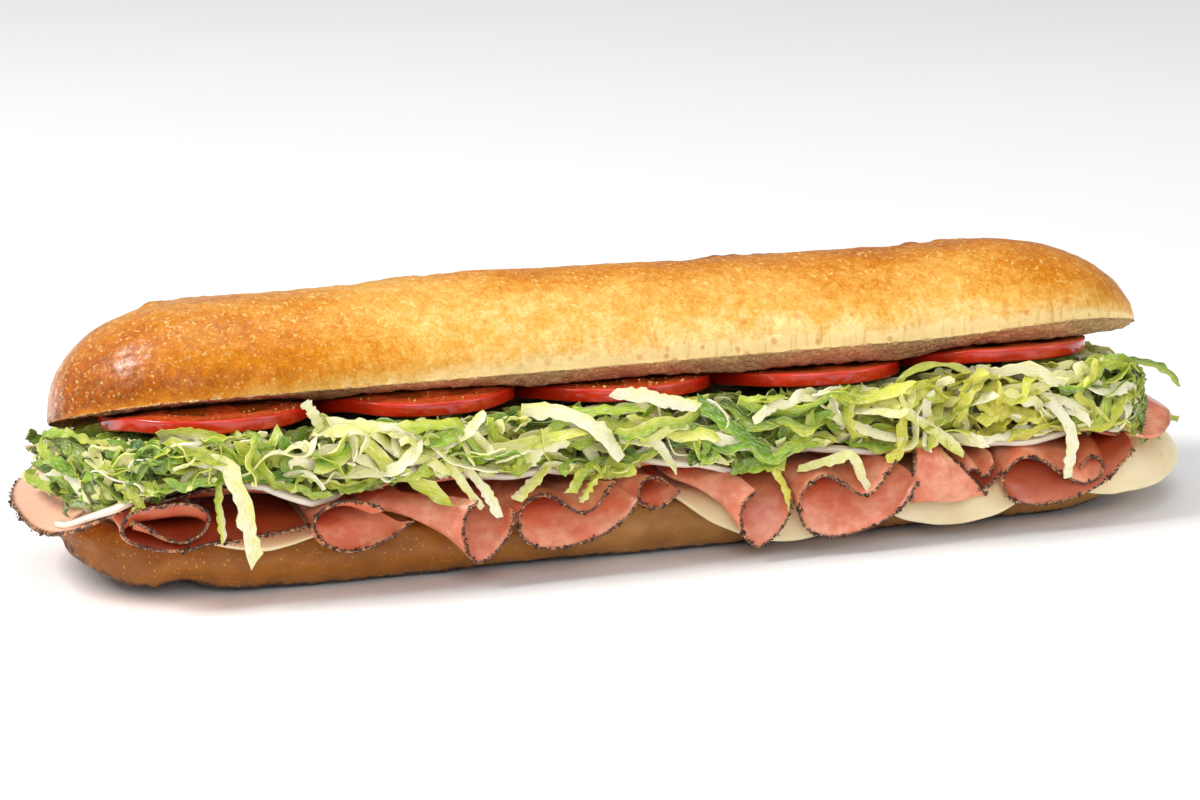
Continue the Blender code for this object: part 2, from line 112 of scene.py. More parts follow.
def roughness(points, size, octaves, seed):
    # octaves of lattice noise, each half as large and a little over half as strong as the last
    total = np.zeros(points.shape[:-1])
    strength = 1.0
    for octave in range(octaves):
        scale = 2.0 ** octave / size
        total += strength * latticeNoise(points[..., 0] * scale, points[..., 1] * scale,
                                         points[..., 2] * scale, seed + octave)
        strength *= 0.55
    return total


def smoothLine(points, count):
    # a Catmull-Rom curve through the points, then even steps along its length
    p = np.asarray(points, float)
    p = np.vstack([2 * p[0] - p[1], p, 2 * p[-1] - p[-2]])
    t = np.linspace(0.0, len(p) - 3 - 1e-6, 24 * len(p))
    i = t.astype(int)
    f = (t - i)[:, None]
    a, b, c, d = p[i], p[i + 1], p[i + 2], p[i + 3]
    line = 0.5 * (2 * b + (c - a) * f + (2 * a - 5 * b + 4 * c - d) * f ** 2 + (3 * b - a - 3 * c + d) * f ** 3)
    along = np.concatenate([[0.0], np.cumsum(np.linalg.norm(np.diff(line, axis=0), axis=1))])
    steps = np.linspace(0.0, along[-1], count)
    return np.stack([np.interp(steps, along, line[:, n]) for n in range(p.shape[1])], axis=1)


def unit(vectors):
    # each vector divided by its length
    return vectors / np.maximum(np.linalg.norm(vectors, axis=-1, keepdims=True), 1e-9)


def gridNormals(grid, wrap=False):
    # the cross product of the two grid directions at each point
    down = np.gradient(grid, axis=0)
    if wrap:
        across = (np.roll(grid, -1, axis=1) - np.roll(grid, 1, axis=1)) / 2
    else:
        across = np.gradient(grid, axis=1)
    return unit(np.cross(down, across))


def gridFaces(rows, columns, wrap=False, start=0):
    # the four corners of every cell; wrap joins the last column to the first
    r, c = np.meshgrid(np.arange(rows - 1), np.arange(columns if wrap else columns - 1), indexing="ij")
    a = r * columns + c
    b = r * columns + (c + 1) % columns
    return start + np.stack([a, b, b + columns, a + columns], axis=-1).reshape(-1, 4)


def closedLoft(rings, firstTip, lastTip):
    # rings in a row, joined, with a fan of triangles to a tip at each end
    rows, columns = rings.shape[:2]
    points = np.vstack([rings.reshape(-1, 3), [firstTip], [lastTip]])
    k = np.arange(columns)
    after = (k + 1) % columns
    last = (rows - 1) * columns
    first = np.stack([after, k, np.full(columns, len(points) - 2)], axis=1)
    final = np.stack([last + k, last + after, np.full(columns, len(points) - 1)], axis=1)
    return points, [gridFaces(rows, columns, wrap=True), first, final]


def sheetShell(middle, thickness):
    # a sheet given by its middle surface: half the thickness to each side along its normals, a half round
    # edge along its first row, and its other three edges closed; returns the points, faces and edge amount
    rows, columns = middle.shape[:2]
    normals = gridNormals(middle)
    half = (np.broadcast_to(thickness, (rows, columns)) / 2)[..., None]
    forward = unit(middle[0] - middle[1])
    upper = (middle + normals * half)[::-1]
    lower = middle - normals * half
    turns = np.radians([22.5, 67.5, 112.5, 157.5])[:, None, None]
    edge = middle[0] + (normals[0] * np.cos(turns) + forward * np.sin(turns)) * half[0]
    loop = np.concatenate([upper, edge, lower], axis=0)
    count = loop.shape[0]
    index = np.arange(count * columns).reshape(count, columns)
    faces = [gridFaces(count, columns)]
    k = np.arange(count // 2 - 1)
    for column, flip in ((0, False), (columns - 1, True)):
        side = np.stack([index[k, column], index[k + 1, column],
                         index[count - 2 - k, column], index[count - 1 - k, column]], axis=1)
        faces.append(side[:, ::-1] if flip else side)
    tail = np.stack([index[0, 1:], index[0, :-1], index[-1, :-1], index[-1, 1:]], axis=1)
    faces.append(tail)
    fromEdge = np.abs(np.arange(count) - (count - 1) / 2)
    return loop.reshape(-1, 3), faces, np.repeat(fromEdge, columns), (count, columns)


def signedVolume(points, faces):
    # six times the volume inside, the sum of a . (b x c) over triangles: above 0 where faces point out
    total = 0.0
    for group in faces:
        for k in range(1, group.shape[1] - 1):
            a, b, c = points[group[:, 0]], points[group[:, k]], points[group[:, k + 1]]
            total += np.einsum("ij,ij->", a, np.cross(b, c))
    return total


def addPiece(name, points, faces, material, nodes=(), values=None, strip=None, sharp=None):
    # puts whole arrays of points and faces in one mesh, with its point values and its own strip map
    if signedVolume(points, faces) < 0:
        faces = [group[:, ::-1] for group in faces]
    mesh = bpy.data.meshes.new(name)
    mesh.vertices.add(len(points))
    mesh.vertices.foreach_set("co", (points * mm).astype(np.float32).ravel())
    corners = np.concatenate([group.ravel() for group in faces]).astype(np.int32)
    sizes = np.concatenate([np.full(len(group), group.shape[1]) for group in faces]).astype(np.int32)
    starts = np.concatenate([[0], np.cumsum(sizes)[:-1]]).astype(np.int32)
    mesh.loops.add(len(corners))
    mesh.loops.foreach_set("vertex_index", corners)
    mesh.polygons.add(len(sizes))
    mesh.polygons.foreach_set("loop_start", starts)
    mesh.update(calc_edges=True)
    mesh.shade_smooth()
    if sharp:
        mesh.set_sharp_from_angle(angle=math.radians(sharp))
    for key, value in (values or {}).items():
        attribute = mesh.attributes.new(key, "FLOAT", "POINT")
        attribute.data.foreach_set("value", np.asarray(value, np.float32).ravel())
    if strip is not None:
        layer = mesh.uv_layers.new(name="strip")
        layer.uv.foreach_set("vector", strip[corners].astype(np.float32).ravel())
    mesh.materials.append(material)
    piece = bpy.data.objects.new(name, mesh)
    bpy.context.scene.collection.objects.link(piece)
    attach(piece, "root")
    if nodes:
        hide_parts(*nodes)
    print("made", name, len(sizes), "faces")
    return piece


def addNode(tree, kind, **inputs):
    # one node, with its named inputs set, or linked where a socket is given
    node = tree.nodes.new(kind)
    for key, value in inputs.items():
        socket = node.inputs[key.replace("_", " ")]
        if isinstance(value, bpy.types.NodeSocket):
            tree.links.new(value, socket)
        else:
            socket.default_value = value
    return node


def mathNode(tree, operation, a, b=0.0):
    # one Math node on two values or sockets
    node = tree.nodes.new("ShaderNodeMath")
    node.operation = operation
    for socket, value in zip(node.inputs, (a, b)):
        if isinstance(value, bpy.types.NodeSocket):
            tree.links.new(value, socket)
        else:
            socket.default_value = value
    return node.outputs[0]


def times(tree, a, b):
    # a b
    return mathNode(tree, "MULTIPLY", a, b)


def plus(tree, a, b):
    # a + b
    return mathNode(tree, "ADD", a, b)


def inverse(tree, a):
    # 1 - a
    return mathNode(tree, "SUBTRACT", 1.0, a)


def sway(tree, a, reach):
    # reach (a - 1/2), for a mask that shifts a value both ways
    return times(tree, mathNode(tree, "SUBTRACT", a, 0.5), reach)


def between(tree, value, low, high):
    # 0 below low, 1 above high, smooth in between
    node = tree.nodes.new("ShaderNodeMapRange")
    node.interpolation_type = "SMOOTHSTEP"
    for socket, item in zip(node.inputs, (value, low, high, 0.0, 1.0)):
        if isinstance(item, bpy.types.NodeSocket):
            tree.links.new(item, socket)
        else:
            socket.default_value = item
    return node.outputs[0]


def blend(tree, amount, a, b, kind="MIX"):
    # a where the amount is 0, b where it is 1
    node = tree.nodes.new("ShaderNodeMix")
    node.data_type = "RGBA"
    node.blend_type = kind
    for index, value in ((0, amount), (6, a), (7, b)):
        if isinstance(value, bpy.types.NodeSocket):
            tree.links.new(value, node.inputs[index])
        else:
            node.inputs[index].default_value = value
    return node.outputs[2]


def ramp(tree, amount, stops):
    # the colours of the stops, straight between their places
    node = tree.nodes.new("ShaderNodeValToRGB")
    elements = node.color_ramp.elements
    while len(elements) < len(stops):
        elements.new(0.5)
    for element, (place, colour) in zip(elements, stops):
        element.position = place
        element.color = colour
    tree.links.new(amount, node.inputs[0])
    return node.outputs[0]


def readValue(tree, name):
    # a point value of the mesh
    node = tree.nodes.new("ShaderNodeAttribute")
    node.attribute_name = name
    return node.outputs["Fac"]


def objectPlace(tree):
    # the place on the object in metres
    return tree.nodes.new("ShaderNodeTexCoord").outputs["Object"]


def fineNoise(tree, place, scale, detail, rough):
    # a value from 0 to 1 that wanders from place to place
    return addNode(tree, "ShaderNodeTexNoise", Vector=place, Scale=scale, Detail=detail, Roughness=rough).outputs[0]


def newGroup(name, inputs, outputs):
    # an empty node group, with its input and output sockets
    tree = bpy.data.node_groups.new(name, "ShaderNodeTree")
    for label, kind in inputs:
        tree.interface.new_socket(label, in_out="INPUT", socket_type=kind)
    for label, kind in outputs:
        tree.interface.new_socket(label, in_out="OUTPUT", socket_type=kind)
    return tree, tree.nodes.new("NodeGroupInput").outputs, tree.nodes.new("NodeGroupOutput").inputs


def makeMottle():
    # a cloudy mask: noise of the given scale, 0 under Low and 1 over High
    tree, given, out = newGroup("mottle", (("Place", "NodeSocketVector"), ("Scale", "NodeSocketFloat"),
                                           ("Low", "NodeSocketFloat"), ("High", "NodeSocketFloat")),
                                (("Mask", "NodeSocketFloat"),))
    noise = addNode(tree, "ShaderNodeTexNoise", Vector=given["Place"], Scale=given["Scale"], Detail=4.0,
                    Roughness=0.6)
    tree.links.new(between(tree, noise.outputs[0], given["Low"], given["High"]), out["Mask"])
    return tree


def makeDots():
    # round dots of many sizes: near the middle of each cell, where the cell's own random value is high
    tree, given, out = newGroup("dots", (("Place", "NodeSocketVector"), ("Scale", "NodeSocketFloat"),
                                         ("Size", "NodeSocketFloat"), ("Share", "NodeSocketFloat")),
                                (("Mask", "NodeSocketFloat"),))
    cells = addNode(tree, "ShaderNodeTexVoronoi", Vector=given["Place"], Scale=given["Scale"])
    parts = addNode(tree, "ShaderNodeSeparateColor", Color=cells.outputs["Color"])
    chosen = mathNode(tree, "LESS_THAN", parts.outputs[0], given["Share"])
    reach = times(tree, given["Size"], plus(tree, parts.outputs[1], 0.35))
    dot = inverse(tree, between(tree, cells.outputs["Distance"], times(tree, reach, 0.55), reach))
    tree.links.new(times(tree, dot, chosen), out["Mask"])
    return tree


def makeStreaks():
    # noise drawn out along one direction, for fibres, veins and brush marks
    tree, given, out = newGroup("streaks", (("Place", "NodeSocketVector"), ("Stretch", "NodeSocketVector"),
                                            ("Low", "NodeSocketFloat"), ("High", "NodeSocketFloat")),
                                (("Mask", "NodeSocketFloat"),))
    drawn = addNode(tree, "ShaderNodeVectorMath")
    drawn.operation = "MULTIPLY"
    tree.links.new(given["Place"], drawn.inputs[0])
    tree.links.new(given["Stretch"], drawn.inputs[1])
    noise = addNode(tree, "ShaderNodeTexNoise", Vector=drawn.outputs[0], Scale=1.0, Detail=3.0, Roughness=0.55,
                    Distortion=0.4)
    tree.links.new(between(tree, noise.outputs[0], given["Low"], given["High"]), out["Mask"])
    return tree


groups = {"mottle": makeMottle(), "dots": makeDots(), "streaks": makeStreaks()}


def useGroup(tree, name, place, **inputs):
    # one of the groups at a place, with its constants
    node = tree.nodes.new("ShaderNodeGroup")
    node.node_tree = groups[name]
    tree.links.new(place, node.inputs["Place"])
    for key, value in inputs.items():
        node.inputs[key].default_value = value
    return node.outputs["Mask"]


def newMaterial(name, **constants):
    # a Principled material whose constants sit on the shader's own sockets
    material = bpy.data.materials.new(name)
    material.use_nodes = True
    shader = material.node_tree.nodes["Principled BSDF"]
    for key, value in constants.items():
        shader.inputs[key.replace("_", " ")].default_value = value
    return material, material.node_tree, shader


def setHeight(tree, shader, height, distance, strength=1.0):
    # the height in metres that the surface's finest relief has
    relief = addNode(tree, "ShaderNodeBump", Height=height, Distance=distance, Strength=strength)
    tree.links.new(relief.outputs[0], shader.inputs["Normal"])


# The crust of the upper half: bake tells how brown it is, cut is 1 on the crumb, tear is 1 in a torn slash, and
# deep takes the crumb from pale at the lip to a darker pink further under it, partly the crumb's own pink and
# partly painted shade
crustLook = {
    "pale": paint(250, 222, 154), "gold": paint(230, 174, 80), "amber": paint(206, 126, 8),
    "brown": paint(166, 84, 0), "dark": paint(100, 44, 0), "fleck": paint(255, 222, 140),
    "spot": paint(206, 118, 30), "tear": paint(246, 214, 152), "scorch": paint(60, 28, 12),
    "crumbPale": paint(236, 200, 140), "crumbPink": paint(208, 142, 106), "crumbDark": paint(132, 72, 46),
}


def makeCrustMaterial():
    look = crustLook
    material, tree, shader = newMaterial("topCrust", Coat_Roughness=0.27, Specular_IOR_Level=0.14)
    place = objectPlace(tree)
    bake = readValue(tree, "bake")
    cut = readValue(tree, "cut")
    cloud = useGroup(tree, "mottle", place, Scale=70.0, Low=0.3, High=0.7)
    patch = useGroup(tree, "mottle", place, Scale=320.0, Low=0.35, High=0.65)
    amount = plus(tree, bake, sway(tree, cloud, 0.13))
    amount = plus(tree, amount, sway(tree, patch, 0.12))
    fine = fineNoise(tree, place, 1100.0, 2.0, 0.7)
    amount = plus(tree, amount, sway(tree, fine, 0.42))
    skin = ramp(tree, amount, ((0.0, look["pale"]), (0.25, look["gold"]), (0.5, look["amber"]),
                               (0.75, look["brown"]), (1.0, look["dark"])))
    worms = useGroup(tree, "streaks", place, Stretch=(760.0, 460.0, 1000.0), Low=0.57, High=0.70)
    worms = times(tree, worms, readValue(tree, "fleck"))
    skin = blend(tree, times(tree, worms, 0.7), skin, look["fleck"])
    fibres = useGroup(tree, "streaks", place, Stretch=(620.0, 160.0, 90.0), Low=0.5, High=0.75)
    fibres = times(tree, fibres, readValue(tree, "fibre"))
    skin = blend(tree, times(tree, fibres, 0.45), skin, look["amber"])
    spots = useGroup(tree, "dots", place, Scale=380.0, Size=0.42, Share=0.22)
    spots = times(tree, spots, readValue(tree, "fibre"))
    skin = blend(tree, times(tree, spots, 0.5), skin, look["spot"])
    blister = useGroup(tree, "dots", place, Scale=900.0, Size=0.42, Share=0.35)
    blister = times(tree, blister, inverse(tree, readValue(tree, "fibre")))
    skin = blend(tree, times(tree, blister, 0.26), skin, look["fleck"])
    skin = blend(tree, readValue(tree, "tear"), skin, look["tear"])
    skin = blend(tree, readValue(tree, "scorch"), skin, look["scorch"])
    pores = useGroup(tree, "mottle", place, Scale=900.0, Low=0.36, High=0.64)
    holes = useGroup(tree, "mottle", place, Scale=260.0, Low=0.3, High=0.7)
    # the crumb turns from pale at the lip to pink further in: partly its own tone, partly painted shade under the
    # upper half
    crumb = blend(tree, readValue(tree, "deep"), look["crumbPale"], look["crumbPink"])
    crumb = blend(tree, times(tree, pores, 0.42), crumb, look["crumbDark"])
    crumb = blend(tree, times(tree, holes, 0.22), crumb, look["crumbPale"])
    tree.links.new(blend(tree, cut, skin, crumb), shader.inputs["Base Color"])
    matte = mathNode(tree, "MAXIMUM", cut, readValue(tree, "tear"))
    dull = plus(tree, times(tree, patch, 0.16), 0.3)
    tree.links.new(blend(tree, matte, dull, (0.9, 0.9, 0.9, 1.0)), shader.inputs["Roughness"])
    shine = times(tree, inverse(tree, matte), readValue(tree, "shine"))
    speckle = useGroup(tree, "mottle", place, Scale=820.0, Low=0.36, High=0.56)
    speckle = plus(tree, times(tree, speckle, 0.75), 0.25)
    tree.links.new(times(tree, shine, speckle), shader.inputs["Coat Weight"])
    grain = fineNoise(tree, place, 620.0, 4.0, 0.65)
    height = plus(tree, grain, times(tree, blister, 0.4))
    height = plus(tree, height, times(tree, times(tree, pores, cut), 2.5))
    setHeight(tree, shader, height, 0.0004, 0.7)
    return material


baseLook = {
    "ochre": paint(164, 98, 4), "tan": paint(178, 124, 56), "brown": paint(112, 60, 2),
    "spot": paint(222, 168, 44), "scorch": paint(52, 28, 12), "crumb": paint(224, 188, 132),
    "meal": paint(206, 160, 92),
}


def makeBaseMaterial():
    # the lower crust: ochre with yellow spots to the left, duller tan to the right, scorched at the bottom
    look = baseLook
    material, tree, shader = newMaterial("lowerCrust", Coat_Weight=0.08, Coat_Roughness=0.35)
    place = objectPlace(tree)
    cloud = useGroup(tree, "mottle", place, Scale=90.0, Low=0.3, High=0.7)
    skin = blend(tree, readValue(tree, "dull"), look["ochre"], look["tan"])
    skin = blend(tree, times(tree, cloud, 0.5), skin, look["brown"])
    spots = useGroup(tree, "dots", place, Scale=1100.0, Size=0.4, Share=0.3)
    spots = times(tree, spots, inverse(tree, readValue(tree, "dull")))
    skin = blend(tree, times(tree, spots, 0.55), skin, look["spot"])
    burn = useGroup(tree, "mottle", place, Scale=420.0, Low=0.32, High=0.62)
    low = readValue(tree, "scorch")
    burnt = between(tree, plus(tree, low, times(tree, burn, 0.45)), 0.62, 0.95)
    skin = blend(tree, burnt, skin, look["scorch"])
    meal = useGroup(tree, "dots", place, Scale=700.0, Size=0.4, Share=0.18)
    skin = blend(tree, times(tree, meal, times(tree, low, 0.8)), skin, look["meal"])
    cut = readValue(tree, "cut")
    pores = useGroup(tree, "mottle", place, Scale=700.0, Low=0.35, High=0.65)
    crumb = blend(tree, times(tree, pores, 0.4), look["crumb"], look["tan"])
    tree.links.new(blend(tree, cut, skin, crumb), shader.inputs["Base Color"])
    tree.links.new(plus(tree, times(tree, cloud, 0.15), 0.45), shader.inputs["Roughness"])
    grain = fineNoise(tree, place, 800.0, 3.0, 0.65)
    setHeight(tree, shader, plus(tree, grain, times(tree, spots, 0.5)), 0.0003, 0.6)
    return material


hamLook = {
    "pink": paint(228, 128, 94), "light": paint(248, 182, 144), "deep": paint(194, 80, 44),
    "pale": paint(250, 198, 168), "amber": paint(172, 54, 4), "edge": paint(206, 146, 96),
    "edgeDark": paint(66, 28, 14),
}


def makeHamMaterial(name):
    # inner is 1 inside a fold, where it darkens the ham with painted shade; amber is painted amber shade deeper
    # inside the rolled folds; rim is 1 on the outer edge of the slice
    look = hamLook
    material, tree, shader = newMaterial(name, Subsurface_Weight=0.12, Subsurface_Scale=0.002,
                                         Coat_Weight=0.3, Coat_Roughness=0.2)
    shader.inputs["Subsurface Radius"].default_value = (1.0, 0.35, 0.2)
    place = objectPlace(tree)
    marble = useGroup(tree, "mottle", place, Scale=130.0, Low=0.38, High=0.64)
    grain = useGroup(tree, "streaks", place, Stretch=(260.0, 500.0, 420.0), Low=0.42, High=0.7)
    colour = blend(tree, times(tree, marble, 0.7), look["pink"], look["light"])
    colour = blend(tree, times(tree, grain, 0.3), colour, look["deep"])
    # painted light: the far left end of the flat ham is lifted towards pale
    colour = blend(tree, readValue(tree, "paintedLight"), colour, look["pale"])
    # painted shade: the inside of each fold turns deep pink
    colour = blend(tree, readValue(tree, "inner"), colour, look["deep"])
    # painted shade: deep inside the rolled folds the ham turns dark amber
    colour = blend(tree, readValue(tree, "amber"), colour, look["amber"])
    crust = blend(tree, useGroup(tree, "mottle", place, Scale=900.0, Low=0.34, High=0.56), look["edge"],
                  look["edgeDark"])
    colour = blend(tree, readValue(tree, "rim"), colour, crust)
    tree.links.new(colour, shader.inputs["Base Color"])
    tree.links.new(plus(tree, times(tree, grain, 0.18), 0.34), shader.inputs["Roughness"])
    fine = fineNoise(tree, place, 420.0, 3.0, 0.55)
    setHeight(tree, shader, fine, 0.0002, 0.35)
    return material


def makeCheeseMaterial():
    # two creams in clouds, with a few small round eyes
    material, tree, shader = newMaterial("cheese", Subsurface_Weight=0.3, Subsurface_Scale=0.003,
                                         Coat_Weight=0.1, Coat_Roughness=0.3)
    shader.inputs["Subsurface Radius"].default_value = (1.0, 0.75, 0.4)
    place = objectPlace(tree)
    cloud = useGroup(tree, "mottle", place, Scale=60.0, Low=0.3, High=0.7)
    colour = blend(tree, cloud, paint(250, 234, 196), paint(240, 218, 170))
    eyes = useGroup(tree, "dots", place, Scale=260.0, Size=0.3, Share=0.08)
    colour = blend(tree, times(tree, eyes, 0.3), colour, paint(206, 174, 122))
    tree.links.new(colour, shader.inputs["Base Color"])
    tree.links.new(plus(tree, times(tree, cloud, 0.12), 0.36), shader.inputs["Roughness"])
    fine = addNode(tree, "ShaderNodeTexNoise", Vector=place, Scale=300.0, Detail=2.0).outputs[0]
    setHeight(tree, shader, fine, 0.0002, 0.25)
    return material


def makeOnionMaterial():
    # rind is 1 on the outer side of the ring, where the skin is white and firm
    material, tree, shader = newMaterial("onion", Subsurface_Weight=0.35, Subsurface_Scale=0.003,
                                         Coat_Weight=0.35, Coat_Roughness=0.12)
    shader.inputs["Subsurface Radius"].default_value = (1.0, 0.8, 0.7)
    strip = tree.nodes.new("ShaderNodeUVMap").outputs[0]
    lines = useGroup(tree, "streaks", strip, Stretch=(3.0, 26.0, 1.0), Low=0.4, High=0.7)
    colour = blend(tree, lines, paint(238, 220, 198), paint(206, 170, 138))
    colour = blend(tree, readValue(tree, "rind"), colour, paint(244, 230, 210))
    tree.links.new(colour, shader.inputs["Base Color"])
    tree.links.new(plus(tree, times(tree, lines, 0.15), 0.18), shader.inputs["Roughness"])
    setHeight(tree, shader, lines, 0.0002, 0.4)
    return material


def makeLettuceMaterial():
    # green runs from a white rib to a deep green leaf, warm turns it to the yellow of the heart, and painted shade
    # darkens the shreds deep in the heap
    material, tree, shader = newMaterial("lettuce", Subsurface_Weight=0.15, Subsurface_Scale=0.0012,
                                         Coat_Weight=0.22, Coat_Roughness=0.14, Specular_IOR_Level=0.3)
    shader.inputs["Subsurface Radius"].default_value = (0.7, 1.0, 0.3)
    strip = tree.nodes.new("ShaderNodeUVMap").outputs[0]
    place = objectPlace(tree)
    veins = useGroup(tree, "streaks", strip, Stretch=(2.2, 9.0, 1.0), Low=0.42, High=0.72)
    cloud = useGroup(tree, "mottle", place, Scale=240.0, Low=0.3, High=0.7)
    green = plus(tree, readValue(tree, "green"), sway(tree, cloud, 0.16))
    leaf = ramp(tree, green, ((0.0, paint(250, 244, 216)), (0.2, paint(236, 234, 148)),
                              (0.42, paint(190, 204, 48)), (0.68, paint(118, 168, 6)),
                              (1.0, paint(40, 94, 0))))
    gold = ramp(tree, green, ((0.0, paint(252, 244, 200)), (0.3, paint(236, 226, 84)),
                              (0.65, paint(206, 192, 4)), (1.0, paint(112, 108, 0))))
    colour = blend(tree, readValue(tree, "warm"), leaf, gold)
    colour = blend(tree, times(tree, veins, 0.5), colour, paint(252, 250, 200))
    lines = useGroup(tree, "streaks", strip, Stretch=(3.4, 15.0, 1.0), Low=0.5, High=0.7)
    colour = blend(tree, times(tree, lines, 0.3), colour, paint(116, 132, 12))
    # painted shade: shreds deep in the heap are darkened towards a dark olive
    colour = blend(tree, times(tree, readValue(tree, "buriedShade"), 0.58), colour, paint(44, 52, 0))
    tree.links.new(colour, shader.inputs["Base Color"])
    tree.links.new(plus(tree, times(tree, cloud, 0.2), 0.28), shader.inputs["Roughness"])
    setHeight(tree, shader, plus(tree, veins, cloud), 0.00035, 0.5)
    return material


def makeTomatoMaterial():
    # skin is 1 round the edge of a slice, gel is 1 in its seed chambers
    material, tree, shader = newMaterial("tomato", Subsurface_Weight=0.12, Subsurface_Scale=0.002,
                                         Coat_Weight=0.7, Coat_Roughness=0.07, Roughness=0.22)
    shader.inputs["Subsurface Radius"].default_value = (1.0, 0.2, 0.1)
    place = objectPlace(tree)
    cloud = useGroup(tree, "mottle", place, Scale=150.0, Low=0.3, High=0.7)
    fibre = useGroup(tree, "mottle", place, Scale=600.0, Low=0.35, High=0.7)
    flesh = blend(tree, fibre, paint(196, 66, 22), paint(226, 104, 50))
    flesh = blend(tree, readValue(tree, "gel"), flesh, paint(176, 80, 12))
    skin = blend(tree, cloud, paint(214, 44, 12), paint(190, 30, 8))
    colour = blend(tree, readValue(tree, "skin"), flesh, skin)
    colour = blend(tree, readValue(tree, "shade"), colour, paint(120, 20, 4))
    tree.links.new(colour, shader.inputs["Base Color"])
    height = times(tree, fibre, inverse(tree, readValue(tree, "skin")))
    setHeight(tree, shader, plus(tree, height, times(tree, cloud, 0.4)), 0.0003, 0.35)
    return material


def makeBitMaterial(name, dark, light, roughness, scale):
    # small bits: two colours in blotches
    material, tree, shader = newMaterial(name, Roughness=roughness)
    place = objectPlace(tree)
    blotch = useGroup(tree, "mottle", place, Scale=scale, Low=0.35, High=0.65)
    tree.links.new(blend(tree, blotch, dark, light), shader.inputs["Base Color"])
    setHeight(tree, shader, blotch, 0.0001, 0.4)
    return material


crustMaterial = makeCrustMaterial()
baseMaterial = makeBaseMaterial()
foldedMaterial = makeHamMaterial("foldedHam")
flatMaterial = makeHamMaterial("flatHam")
cheeseMaterial = makeCheeseMaterial()
onionMaterial = makeOnionMaterial()
lettuceMaterial = makeLettuceMaterial()
tomatoMaterial = makeTomatoMaterial()
pepperMaterial = makeBitMaterial("pepper", paint(28, 18, 14), paint(84, 52, 34), 0.6, 900.0)
herbMaterial = makeBitMaterial("herb", paint(150, 96, 24), paint(240, 206, 120), 0.5, 700.0)
print("materials ready")


# Heights of the layers, as the solids have them, and two lifts at the right that they don't have
layers = {
    "rimRadius": 36.0, "rimFront": 17.0, "rimBack": 20.5, "gap": 0.35, "cheese": 1.4, "cheeseStep": 2.1,
    "ham": 1.1, "foldFront": 4.4, "foldBack": 3.0,
    "lipY": -34.0, "lipZ": 55.5, "upperTilt": math.radians(19.0), "upperRadius": 38.0,
    "tomatoThick": 3.8, "tomatoTilt": math.radians(8.0), "tomatoFrontY": -40.0, "tomatoTopZ": 50.2,
    "tomatoRun": 0.008, "rightTomatoLift": 2.8, "rightLipLift": 2.4,
    "bendStart": 3.0, "bendLength": 12.0, "bendFront": math.radians(70.0), "bendLeft": math.radians(8.0),
    "bendRight": math.radians(45.0),
}
spine = halfRoll - layers["rimRadius"]


def crumbTop(y):
    # the lower cut face: a straight slope from front rim to back rim
    return mix(layers["rimFront"], layers["rimBack"], (y / layers["rimRadius"] + 1) / 2)


def foldFloor(y):
    # the top of the cheese where two slices overlap, and a gap
    return crumbTop(y) + layers["cheeseStep"] + layers["cheese"] + 2 * layers["gap"]


def foldHeight(y):
    # the room for the folds, from its front value to its back value by 3t^2 - 2t^3
    return mix(layers["foldFront"], layers["foldBack"], smooth((y / layers["rimRadius"] + 1) / 2))


def apron(y):
    # a circle about the bend of the cheese, outside it
    bend = layers["bendLength"] / layers["bendFront"]
    outer = bend + layers["cheeseStep"] + layers["cheese"] + 2 * layers["gap"] + layers["ham"] / 2
    start = layers["bendStart"] - layers["rimRadius"]
    return crumbTop(start) - bend + np.sqrt(np.maximum(outer ** 2 - (y - start) ** 2, 0.0))


def flatFloor(y):
    # the top of the folds, and a gap
    return foldFloor(y) + foldHeight(y) + layers["gap"]


def rimPlane(y):
    # the plane of the upper half's cut face, which falls to the back
    return layers["lipZ"] - (y - layers["lipY"]) * math.tan(layers["upperTilt"])


# Where the top of a tomato slice bulges up behind its front edge: place along the roll, height, half width
tomatoBulges = ((-119.0, 2.4, 26.0), (-61.0, 2.6, 26.0), (-4.0, 1.2, 24.0), (53.0, 0.5, 24.0))


def tomatoBulge(x, y):
    # a low ridge along the roll 15 mm behind the front edge, one swelling for each slice
    ridge = np.exp(-((y - layers["tomatoFrontY"] - 15.0) / 8.0) ** 2)
    total = 0.0
    for place, height, width in tomatoBulges:
        total = total + height * np.exp(-((x - place) / width) ** 4)
    return total * ridge


def tomatoTop(x, y):
    # level from side to side, falling to the back, and a step higher for the last slice
    slope = (y - layers["tomatoFrontY"]) * math.tan(layers["tomatoTilt"])
    step = layers["rightTomatoLift"] * smooth((x - 74.0) / 24.0)
    return layers["tomatoTopZ"] - layers["tomatoRun"] * x - slope + step


def drape(x, y, lift):
    # lays a flat place on the lower half at a height above it: level up to the rim, then round a bend
    # that is steep at the front and shallow at the ends, then straight on down
    start = layers["rimRadius"] - layers["bendStart"]
    spineX = np.clip(x, -spine, spine)
    reach = np.hypot(x - spineX, y)
    past = reach - start
    outX = (x - spineX) / np.maximum(reach, 1e-6)
    outY = y / np.maximum(reach, 1e-6)
    atEnd = np.where(x < 0, layers["bendLeft"], layers["bendRight"])
    full = mix(atEnd, layers["bendFront"], outY * outY)
    turn = full * np.clip(past / layers["bendLength"], 0.0, 1.0)
    radius = layers["bendLength"] / full
    beyond = np.maximum(past - layers["bendLength"], 0.0)
    out = start + radius * np.sin(turn) + beyond * np.cos(turn) + lift * np.sin(turn)
    drop = radius * (1 - np.cos(turn)) + beyond * np.sin(turn)
    flat = past <= 0.0
    bentZ = crumbTop(outY * start) - drop + lift * np.cos(turn)
    return np.stack([np.where(flat, x, spineX + outX * out), np.where(flat, y, outY * out),
                     np.where(flat, crumbTop(y) + lift, bentZ)], axis=-1)


